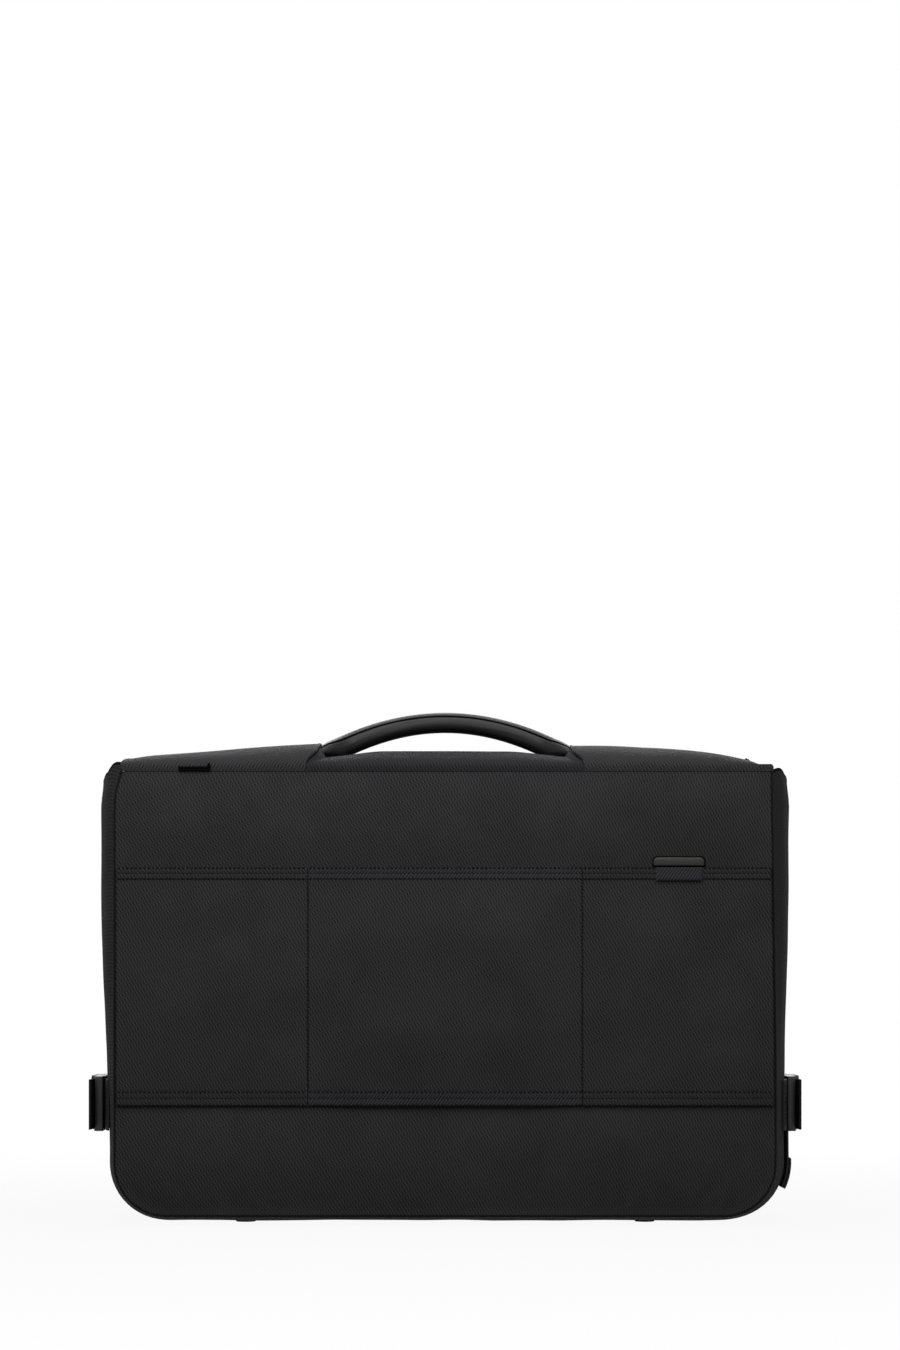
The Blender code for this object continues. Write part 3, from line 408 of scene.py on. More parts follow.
def seat(piece: Object, body: str, slot: str, *stands_for: str) -> Object:
    """Make a piece ride on a body and hide the nodes that it stands for.

    Args:
        piece: Finished piece, in place.
        body: Body of the frame that it moves with.
        slot: Not used.
        *stands_for: Nodes of the frame that it replaces.

    Returns:
        The same piece.
    """
    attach(piece, body)
    if stands_for:
        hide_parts(*stands_for)
    LOG.info("%s: %d faces, rides on %s", piece.name, len(piece.data.polygons), body)
    return piece


def drape(name: str, columns: int, rows: int, place: Place) -> Object:
    """Add a grid and lay it over a shape, with a UV map in metres along the cloth.

    Args:
        name: Name of the piece.
        columns: Faces along the first share.
        rows: Faces along the second share.
        place: Gives a point for two shares from 0 to 1.

    Returns:
        The draped grid, one layer thick.
    """
    deselect_all()
    bpy.ops.mesh.primitive_grid_add(x_subdivisions=columns, y_subdivisions=rows, size=2.0)
    piece = bpy.context.object
    piece.name = name
    mesh = piece.data
    mesh.name = name
    spots = [(round((v.co.y + 1) / 2 * rows), round((v.co.x + 1) / 2 * columns)) for v in mesh.vertices]
    points = np.zeros((rows + 1, columns + 1, 3))
    for vertex, (row, column) in zip(mesh.vertices, spots):
        vertex.co = place(column / columns, row / rows)
        points[row, column] = vertex.co
    along = np.zeros((rows + 1, columns + 1))
    along[:, 1:] = np.cumsum(np.linalg.norm(np.diff(points, axis=1), axis=2), axis=1)
    along -= along[:, -1:] / 2
    across = np.zeros((rows + 1, columns + 1))
    across[1:, :] = np.cumsum(np.linalg.norm(np.diff(points, axis=0), axis=2), axis=0)
    layer = mesh.uv_layers.active.data
    for loop in mesh.loops:
        row, column = spots[loop.vertex_index]
        layer[loop.index].uv = (along[row, column], across[row, column])
    mesh.update()
    return piece


def thicken(piece: Object, thickness: float, offset: float = 0.0) -> Object:
    """Give a draped sheet its thickness, with an offset from -1, behind it, to 1, in front."""
    return apply_modifier(piece, "SOLIDIFY", thickness=thickness, offset=offset, use_even_offset=True)


def tube(name: str, points: Iterable[Sequence[float]], radius: float, sides: int = 2) -> Object:
    """Sweep a round section along points and close its ends.

    Args:
        name: Name of the piece.
        points: Points of the middle line.
        radius: Radius of the section.
        sides: Steps in a quarter of the section, less one.

    Returns:
        The tube as a mesh, with its UV map in metres.
    """
    line = [Vector(point) for point in points]
    around = 4 * sides + 4
    last = len(line) - 1
    tangents = [(line[min(i + 1, last)] - line[max(i - 1, 0)]).normalized() for i in range(len(line))]
    normal = tangents[0].orthogonal().normalized()
    frames = []
    for tangent in tangents:
        normal = (normal - tangent * normal.dot(tangent)).normalized()
        frames.append((normal, tangent.cross(normal)))

    def place(along: float, turn: float) -> Vector:
        """A point on the tube's surface."""
        at = round(along * (len(line) - 1))
        first, second = frames[at]
        return line[at] + radius * (cos(2 * pi * turn) * first + sin(2 * pi * turn) * second)

    piece = drape(name, len(line) - 1, around, place)
    close_ends(piece)
    return piece


def close_ends(piece: Object) -> Object:
    """Weld a rolled grid into a tube, fill its open ends and face it outwards."""
    take_up(piece)
    bpy.ops.object.mode_set(mode="EDIT")
    bpy.ops.mesh.select_all(action="SELECT")
    bpy.ops.mesh.remove_doubles(threshold=0.00001)
    bpy.ops.mesh.select_all(action="DESELECT")
    bpy.ops.mesh.select_mode(type="EDGE")
    bpy.ops.mesh.select_non_manifold(extend=False, use_wire=False, use_multi_face=False,
                                     use_non_contiguous=False, use_verts=False)
    bpy.ops.mesh.fill_holes(sides=0)
    bpy.ops.mesh.select_mode(type="VERT")
    bpy.ops.mesh.select_all(action="SELECT")
    bpy.ops.mesh.normals_make_consistent(inside=False)
    bpy.ops.object.mode_set(mode="OBJECT")
    return piece


def block(name: str, low: Sequence[float], high: Sequence[float], edge: float = 0.0,
          segments: int = 3) -> Object:
    """Add a cube, stretch it between two corners and round its edges in edit mode.

    Args:
        name: Name of the piece.
        low: Lowest corner.
        high: Highest corner.
        edge: Width of the rounded edge, or 0.
        segments: Steps in the rounding.

    Returns:
        The block.
    """
    deselect_all()
    low, high = Vector(low), Vector(high)
    bpy.ops.mesh.primitive_cube_add(size=1.0, location=(low + high) / 2)
    piece = bpy.context.object
    piece.name = name
    piece.data.name = name
    piece.scale = high - low
    bpy.ops.object.transform_apply(location=True, rotation=True, scale=True)
    if edge:
        bpy.ops.object.mode_set(mode="EDIT")
        bpy.ops.mesh.select_all(action="SELECT")
        bpy.ops.mesh.bevel(offset=edge, segments=segments, affect="EDGES")
        bpy.ops.object.mode_set(mode="OBJECT")
    return piece


def cut_or_join(piece: Object, other: Object, operation: str) -> Object:
    """Cut another shape out of a piece or join it on, and remove the other shape."""
    apply_modifier(piece, "BOOLEAN", operation=operation, solver="EXACT", object=other)
    bpy.data.objects.remove(other, do_unlink=True)
    return piece


def repeat(name: str, master: Object, places: Iterable[Matrix]) -> Object:
    """Copy one small modelled shape to many places, in one mesh.

    Args:
        name: Name of the piece.
        master: Shape to copy, removed afterwards.
        places: Place of each copy.

    Returns:
        The piece that holds all the copies.
    """
    points = [vertex.co.copy() for vertex in master.data.vertices]
    faces = [tuple(face.vertices) for face in master.data.polygons]
    all_points: list[Vector] = []
    all_faces: list[tuple[int, ...]] = []
    for place in places:
        start = len(all_points)
        all_points.extend(place @ point for point in points)
        all_faces.extend(tuple(index + start for index in face) for face in faces)
    mesh = bpy.data.meshes.new(name)
    mesh.from_pydata(all_points, [], all_faces)
    piece = bpy.data.objects.new(name, mesh)
    bpy.context.scene.collection.objects.link(piece)
    bpy.data.objects.remove(master, do_unlink=True)
    return piece


def stitch_row(name: str, line: Sequence[Sequence[float]], out: Sequence[float],
               length: float = 0.0024, pitch: float = 0.0032, radius: float = 0.0005) -> Object:
    """Lay sewn stitches along a line of points.

    Args:
        name: Name of the piece.
        line: Points that the thread follows.
        out: Direction that the stitches face.
        length: Length of one stitch that shows.
        pitch: Distance from stitch to stitch.
        radius: Radius of the thread.

    Returns:
        The stitches as one piece.
    """
    deselect_all()
    bpy.ops.mesh.primitive_uv_sphere_add(segments=6, ring_count=4, radius=1.0)
    master = bpy.context.object
    points = [Vector(point) for point in line]
    places = []
    travelled = pitch / 2
    for start, end in zip(points, points[1:]):
        run = end - start
        while travelled < run.length:
            ahead = run.normalized()
            up = Vector(out).normalized()
            across = up.cross(ahead).normalized()
            spot = start + ahead * travelled
            basis = Matrix((across * radius, up * radius, ahead * length / 2)).transposed().to_4x4()
            places.append(Matrix.Translation(spot) @ basis)
            travelled += pitch
        travelled -= run.length
    return repeat(name, master, places)


def ripple(point: Sequence[float], size: float, seed: float = 0.0) -> float:
    """Soft unevenness of hand-sewn cloth, about from -1 to 1.

    Args:
        point: Place on the cloth.
        size: Distance from one swelling to the next.
        seed: Shift that tells one piece's unevenness from another's.

    Returns:
        The unevenness at that place.
    """
    return noise.noise(Vector(point) / size + Vector((seed, seed * 0.7, seed * 1.3)))


def smooth(value: float) -> float:
    """Ease a share from 0 to 1."""
    share = min(1.0, max(0.0, value))
    return share * share * (3 - 2 * share)


def ease_through(keys: Sequence[tuple[float, float]], at: float) -> float:
    """Follow a few heights along a line, easing from each to the next.

    Args:
        keys: Places and heights, in order of place.
        at: Place to read.

    Returns:
        The height there.
    """
    for (start, low), (stop, high) in zip(keys, keys[1:]):
        if at <= stop:
            return low + (high - low) * smooth((at - start) / (stop - start))
    return keys[-1][1]


def arc_points(centre: Sequence[float], radius: float, start: float, stop: float,
               steps: int = 6) -> list[tuple[float, float]]:
    """Points of an arc from one angle to another, in radians."""
    angles = [start + (stop - start) * step / steps for step in range(steps + 1)]
    return [(centre[0] + radius * cos(angle), centre[1] + radius * sin(angle)) for angle in angles]


def select_edges(piece: Object, wanted: Callable[[Vector, Vector], bool]) -> None:
    """Select the edges whose two ends pass a test, and leave the piece in edit mode."""
    take_up(piece)
    bpy.ops.object.mode_set(mode="EDIT")
    bpy.ops.mesh.select_mode(type="EDGE")
    bpy.ops.mesh.select_all(action="DESELECT")
    bpy.ops.object.mode_set(mode="OBJECT")
    for edge in piece.data.edges:
        first, second = (piece.data.vertices[index].co for index in edge.vertices)
        edge.select = wanted(first, second)
    bpy.ops.object.mode_set(mode="EDIT")


def softened(name: str, node: str, width: float, segments: int = 2) -> Object:
    """Copy a rigid node's solid, weld it, clear its flat faces and round its edges.

    Args:
        name: Name of the new piece.
        node: Node of the frame whose solid is copied.
        width: Width of the rounded edge.
        segments: Steps in the rounding.

    Returns:
        The rounded copy.
    """
    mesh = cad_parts[node].data.copy()
    mesh.name = name
    piece = bpy.data.objects.new(name, mesh)
    bpy.context.scene.collection.objects.link(piece)
    take_up(piece)
    bpy.ops.object.mode_set(mode="EDIT")
    bpy.ops.mesh.select_all(action="SELECT")
    bpy.ops.mesh.remove_doubles(threshold=0.00001)
    bpy.ops.mesh.customdata_custom_splitnormals_clear()
    bpy.ops.mesh.dissolve_limited(angle_limit=radians(1.0))
    bpy.ops.object.mode_set(mode="OBJECT")
    return apply_modifier(piece, "BEVEL", width=width, segments=segments, limit_method="ANGLE",
                          angle_limit=radians(30))


def inflate(piece: Object, held: Callable[[Vector], bool], pressure: float, cap: float,
            slack: float = 0.002) -> Object:
    """Swell a sewn sheet by a short cloth simulation that holds it at its seams.

    Args:
        piece: Sheet of one layer.
        held: Tells which points are sewn down.
        pressure: Pressure behind the sheet, towards its normals.
        cap: Furthest that a point may move.
        slack: Share by which the cloth was cut larger than its place.

    Returns:
        The same piece, with the result applied.
    """
    vertices = piece.data.vertices
    rest = np.array([vertex.co for vertex in vertices])
    sewn = piece.vertex_groups.new(name="sewn_down")
    sewn.add([vertex.index for vertex in vertices if held(vertex.co)], 1.0, "REPLACE")
    take_up(piece)
    cloth = piece.modifiers.new("Swell", "CLOTH")
    cloth.collision_settings.use_collision = False
    settings = cloth.settings
    settings.quality = 5
    settings.mass = 0.2
    settings.tension_stiffness = 20.0
    settings.compression_stiffness = 20.0
    settings.shear_stiffness = 10.0
    settings.bending_stiffness = 1.0
    settings.vertex_group_mass = sewn.name
    settings.use_pressure = True
    settings.uniform_pressure_force = pressure
    settings.shrink_min = -slack
    settings.effector_weights.gravity = 0.0
    for step in range(1, SWELL_FRAMES + 1):
        bpy.context.scene.frame_set(step)
    bpy.ops.object.modifier_apply(modifier=cloth.name)
    bpy.context.scene.frame_set(1)
    moved = np.array([vertex.co for vertex in vertices]) - rest
    reach = np.linalg.norm(moved, axis=1, keepdims=True) + 1e-9
    LOG.info("%s: swells by up to %.1f mm before its cap", piece.name, reach.max() * TEXTURE_MM)
    eased = rest + moved * cap * np.tanh(reach / cap) / reach
    vertices.foreach_set("co", eased.ravel())
    piece.data.update()
    piece.vertex_groups.clear()
    return piece


def dress_node(node: str, finish: MouldedPlastic | PlatedSteel) -> None:
    """Give a node of the frame that stays in view its finish."""
    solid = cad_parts[node]
    solid.data.materials.clear()
    solid.data.materials.append(finish.material())


@dataclass(frozen=True)
class EdgePoint:
    """A point of the sewn edge in the plane of a panel, with its outward normal."""

    x: float
    z: float
    normal_x: float
    normal_z: float

    @property
    def side(self) -> Side:
        """The end of the bag that the point lies nearer to."""
        return Side.LEFT if self.x < 0 else Side.RIGHT


@dataclass(frozen=True)
class BagShape:
    """Sizes that the soft pieces share, read from the frame where it holds them."""

    half_width: float
    half_depth: float
    bottom: float
    top: float
    gusset_near: float
    gusset_far: float
    strap_height: float
    corner_radius: float = 0.038
    gusset_wall: float = 0.0025
    gusset_inset: float = 0.0015
    bulge_side: float = 0.013
    bulge_bottom: float = 0.0065
    swell_span: float = 0.82
    strap_pinch: float = 0.002
    pinch_reach: float = 0.110
    left_sag: float = 0.003
    left_sag_height: float = 0.045
    left_sag_reach: float = 0.065
    left_tuck: float = 0.0056
    left_tuck_start: float = 0.3145
    left_tuck_power: float = 1.8
    right_tuck: float = 0.003
    right_tuck_start: float = 0.120

    @classmethod
    def from_frame(cls) -> "BagShape":
        """Read the shared sizes from the rear section's nodes and the buckles."""
        low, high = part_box("rear_panel")
        gusset_low, gusset_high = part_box("rear_gusset")
        buckle_low, buckle_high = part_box("male_buckle_left")
        return cls(half_width=high.x, half_depth=-low.y, bottom=low.z, top=high.z,
                   gusset_near=gusset_low.y - low.y, gusset_far=gusset_high.y - low.y,
                   strap_height=(buckle_low.z + buckle_high.z) / 2)

    def tuck(self, side: Side, z: float) -> float:
        """How far the sewn edge leans in towards the top of one side."""
        if side is Side.LEFT:
            share = (z - self.left_tuck_start) / (self.top - self.left_tuck_start)
            return self.left_tuck * max(0.0, share) ** self.left_tuck_power
        return self.right_tuck * max(0.0, (z - self.right_tuck_start) / (self.top - self.right_tuck_start))

    def reach(self, side: Side, z: float) -> float:
        """Reach of the panel at a height, less where it leans in and in the rounded corners."""
        drop = self.bottom + self.corner_radius - z
        if drop <= 0:
            return self.half_width - self.tuck(side, z)
        return self.half_width - self.corner_radius + sqrt(max(0.0, self.corner_radius ** 2 - drop ** 2))

    def sewn_edge(self, side_steps: int, corner_steps: int, bottom_steps: int) -> list[EdgePoint]:
        """Follow the sewn edge down one side, along the bottom and up the other.

        Args:
            side_steps: Steps down each side.
            corner_steps: Steps round each corner.
            bottom_steps: Steps along the bottom.

        Returns:
            The points in order, from the upper left to the upper right.
        """
        centre_x = self.half_width - self.corner_radius
        centre_z = self.bottom + self.corner_radius
        halves = {}
        for side in Side:
            path = []
            for step in range(side_steps):
                height = self.top + (centre_z - self.top) * step / side_steps
                path.append(EdgePoint(side.value * self.reach(side, height), height, side.value, 0.0))
            for step in range(corner_steps + 1):
                angle = pi / 2 * step / corner_steps
                path.append(EdgePoint(side.value * (centre_x + self.corner_radius * cos(angle)),
                                      centre_z - self.corner_radius * sin(angle),
                                      side.value * cos(angle), -sin(angle)))
            halves[side] = path
        floor = [EdgePoint(centre_x * (2 * step / bottom_steps - 1), self.bottom, 0.0, -1.0)
                 for step in range(1, bottom_steps)]
        return halves[Side.LEFT] + floor + halves[Side.RIGHT][::-1]

    def from_edge(self, x: float, z: float) -> float:
        """Distance of a point of the panel from its sewn edge, with the top left open."""
        drop = self.bottom + self.corner_radius - z
        inwards = self.half_width - self.corner_radius - abs(x)
        if drop > 0 and inwards < 0:
            return self.corner_radius - hypot(drop, inwards)
        side = Side.LEFT if x < 0 else Side.RIGHT
        return min(self.half_width - self.tuck(side, z) - abs(x), z - self.bottom)

    def pinch(self, side: Side, z: float) -> float:
        """How far a side's swelling is drawn in by its strap, and sags in below it on the left."""
        drawn = self.strap_pinch * exp(-((z - self.strap_height) / self.pinch_reach) ** 2)
        if side is Side.LEFT:
            drawn += self.left_sag * exp(-((z - self.left_sag_height) / self.left_sag_reach) ** 2)
        return drawn

    def gusset_offset(self, edge: EdgePoint, across: float) -> float:
        """How far the middle of the gusset stands out from the sewn edge, across its depth."""
        swell = self.bulge_side - self.pinch(edge.side, edge.z)
        bulge = hypot(swell * edge.normal_x, self.bulge_bottom * edge.normal_z)
        return self.gusset_wall / 2 - self.gusset_inset + bulge * sin(pi * self.swell_span * across)

    def side_surface(self, side: Side, y: float, z: float) -> float:
        """Distance of a gusset's outer side from the middle of the bag."""
        across = (self.half_depth - abs(y) - self.gusset_near) / (self.gusset_far - self.gusset_near)
        edge = EdgePoint(side.value, z, side.value, 0.0)
        return self.reach(side, z) + self.gusset_offset(edge, across) + self.gusset_wall / 2


@dataclass
class Section:
    """One half of the bag: padded panel, swollen gusset, piping, bindings, lining and feet."""

    shape: BagShape
    facing: Facing
    covered: tuple[Vector, Vector]
    crown: float = 0.0018
    crown_reach: float = 0.032
    swell_pressure: float = 2.5
    swell_cap: float = 0.0022
    seam_hold: float = 0.006
    top_roll: float = 0.0004
    top_roll_reach: float = 0.014
    slant_reach: float = 0.055
    tuck_across: float = 0.22
    bulge: float = 0.0018
    bulge_low: float = 0.12
    bulge_ease: float = 0.10
    bulge_high: float = 0.342
    bulge_fade: float = 0.024
    piping_radius: float = 0.0009
    binding_radius: float = 0.0015
    panel_thick: float = 0.0036
    lining_thick: float = 0.0009
    lining_inset: float = 0.0010
    foot_edge: float = 0.0003
    foot_rim: float = 0.0022
    gusset_tops: dict[Side, tuple[tuple[float, float], ...]] = field(default_factory=lambda: {
        Side.LEFT: ((0.0, 0.0056), (0.10, 0.0066), (0.24, -0.0002), (0.52, -0.0050), (1.0, -0.0050)),
        Side.RIGHT: ((0.0, -0.0006), (0.17, 0.0024), (0.36, -0.0020), (0.54, -0.0060), (1.0, -0.0060))})

    def build(self) -> None:
        """Build every piece of this half."""
        self.build_panel()
        self.build_gusset()
        self.build_piping()
        self.build_bindings()
        self.build_lining()
        self.build_feet()

    @property
    def outer(self) -> float:
        """Y of the flat outer face."""
        return self.facing.value * self.shape.half_depth

    def name(self, word: str) -> str:
        """Name of a piece of this half."""
        return self.facing.word + "_" + word

    def clearance(self, x: float, z: float) -> float:
        """Distance of a point of the panel from its seams and from what is sewn over it."""
        low, high = self.covered
        aside = max(low.x - x, 0.0, x - high.x)
        above = max(low.z - z, 0.0, z - high.z)
        from_top = (self.shape.top - z) * 1.6
        return max(0.0, min(self.shape.from_edge(x, z), hypot(aside, above), from_top))

    def lift(self, x: float, z: float) -> float:
        """How far the padded panel swells out between its seams, and rolls back at its top."""
        uneven = 1 + 0.25 * ripple((x, 0.0, z), 0.07, self.facing.value)
        rolled = smooth((z - self.shape.top + self.top_roll_reach) / self.top_roll_reach)
        return self.crown * smooth(self.clearance(x, z) / self.crown_reach) * uneven - self.top_roll * rolled

    def build_panel(self) -> Object:
        """Build the padded outer panel with its rounded lower corners."""
        shape = self.shape
        corner_share = 0.2

        def place(along: float, up: float) -> tuple[float, float, float]:
            """A point on the outer face; the rows crowd where the corners turn."""
            if up < corner_share:
                z = shape.bottom + shape.corner_radius * (1 - cos(pi / 2 * up / corner_share))
            else:
                start = shape.bottom + shape.corner_radius
                z = start + (shape.top - start) * (up - corner_share) / (1 - corner_share)
            left, right = shape.reach(Side.LEFT, z), shape.reach(Side.RIGHT, z)
            x = along * (left + right) - left
            return (x, self.outer + self.facing.value * self.lift(x, z), z)

        piece = drape(self.name("padded_panel"), 120, 96, place)
        inflate(piece, lambda point: self.clearance(point.x, point.z) < self.seam_hold,
                -self.facing.value * self.swell_pressure, self.swell_cap)
        thicken(piece, self.panel_thick, self.facing.value)
        dress(face_outwards(piece), OUTER_CLOTH)
        return seat(piece, self.facing.body, "twill", self.name("panel"))

    def gusset_point(self, edge: EdgePoint, across: float) -> Vector:
        """A point on the middle of the gusset's wall."""
        shape = self.shape
        depth_in = shape.gusset_near + across * (shape.gusset_far - shape.gusset_near)
        offset = shape.gusset_offset(edge, across)
        swelling = smooth((edge.z - self.bulge_low) / self.bulge_ease)
        fading = smooth((self.bulge_high - edge.z) / self.bulge_fade)
        fuller = shape.tuck(edge.side, edge.z) + self.bulge * swelling * fading
        offset += fuller * abs(edge.normal_x) * smooth(across / self.tuck_across)
        slack = sin(pi * min(1.0, across / 0.9)) if across < 0.9 else 0.0
        offset += 0.0006 * slack * ripple((edge.x, depth_in, edge.z), 0.035, self.facing.value * 3.0)
        near_top = smooth(1 - (shape.top - edge.z) / self.slant_reach)
        rise = ease_through(self.gusset_tops[edge.side], across) * near_top
        return Vector((edge.x + edge.normal_x * offset,
                       self.outer - self.facing.value * depth_in,
                       edge.z + edge.normal_z * offset + rise))

    def build_gusset(self) -> Object:
        """Build the swollen wall round the sides and bottom, with its wavy top ends."""
        path = self.shape.sewn_edge(44, 14, 56)

        def place(along: float, across: float) -> Vector:
            """A point on the wall."""
            return self.gusset_point(path[round(along * (len(path) - 1))], across)

        piece = drape(self.name("swollen_gusset"), len(path) - 1, 32, place)
        thicken(piece, self.shape.gusset_wall)
        dress(face_outwards(piece), OUTER_CLOTH)
        return seat(piece, self.facing.body, "twill", self.name("gusset"))

    def build_piping(self) -> Object:
        """Build the thin piping sewn between panel and gusset."""
        path = self.shape.sewn_edge(40, 12, 30)
        y = self.outer - self.facing.value * self.piping_radius
        points = [(p.x + p.normal_x * self.piping_radius, y, p.z + p.normal_z * self.piping_radius)
                  for p in path]
        piece = dress(tube(self.name("sewn_piping"), points, self.piping_radius), PIPING_CLOTH)
        return seat(piece, self.facing.body, "piping", self.name("piping"))

    def build_bindings(self) -> None:
        """Build the bound top ends of the gusset and the bound inner edge."""
        path = self.shape.sewn_edge(40, 12, 30)
        steps = 40
        for side, edge in ((Side.LEFT, path[0]), (Side.RIGHT, path[-1])):
            points = [self.gusset_point(edge, step / steps) for step in range(steps + 1)]
            piece = tube(self.name("gusset_binding_" + side.word), points, self.binding_radius)
            seat(dress(piece, SLIT_TAPE), self.facing.body, "piping")
        rim = [self.gusset_point(edge, 1.0) for edge in path]
        piece = tube(self.name("inner_binding"), rim, self.binding_radius)
        seat(dress(piece, BINDING_CLOTH), self.facing.body, "piping")

    def build_lining(self) -> Object:
        """Build the lining sheet that closes the inner side of this half."""
        low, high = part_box(self.name("inner_cover"))
        middle_y = (low.y + high.y) / 2
        shape = self.shape

        def reach(side: Side, z: float) -> float:
            """Reach of the gusset's inner edge at a height, just inside its binding."""
            offset = shape.gusset_offset(EdgePoint(side.value, z, side.value, 0.0), 1.0)
            return shape.reach(side, max(shape.bottom, z)) + offset - self.lining_inset

        def place(along: float, up: float) -> tuple[float, float, float]:
            """A point on the lining, which hangs a little slack between its sewn edges."""
            z = low.z + (high.z - low.z) * up
            left, right = reach(Side.LEFT, z), reach(Side.RIGHT, z)
            x = along * (left + right) - left
            inside = smooth(min(along, 1 - along) / 0.12) * smooth(up / 0.12) * smooth((1 - up) / 0.05)
            sag = 0.0005 * inside * ripple((x, 0.0, z), 0.045, self.facing.value * 5.0)
            return (x, middle_y + sag, z)

        piece = drape(self.name("lining"), 60, 44, place)
        thicken(piece, self.lining_thick)
        dress(face_outwards(piece), LINING_CLOTH)
        self.name("swollen_gusset")
        return seat(piece, self.facing.body, "lining", self.name("inner_cover"))

    def build_feet(self) -> None:
        """Build the low rubber feet, each with a rounded edge and a sunken middle."""
        for side in Side:
            node = self.name("foot_" + side.word)
            low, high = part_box(node)
            deselect_all()
            bpy.ops.mesh.primitive_cylinder_add(vertices=48, radius=(high.x - low.x) / 2,
                                                depth=high.z - low.z, location=(low + high) / 2)
            piece = bpy.context.object
            piece.name = self.name("rubber_foot_" + side.word)
            bpy.ops.object.transform_apply(location=True, rotation=True, scale=True)
            apply_modifier(piece, "BEVEL", width=self.foot_edge, segments=2, limit_method="ANGLE",
                           angle_limit=radians(60))
            for face in piece.data.polygons:
                face.select = face.normal.z < -0.9 and face.area > self.foot_rim ** 2
            bpy.ops.object.mode_set(mode="EDIT")
            bpy.ops.mesh.select_mode(type="FACE")
            bpy.ops.mesh.inset(thickness=self.foot_rim, depth=-self.foot_edge)
            bpy.ops.object.mode_set(mode="OBJECT")
            seat(dress(piece, RUBBER), self.facing.body, "rubber", node)


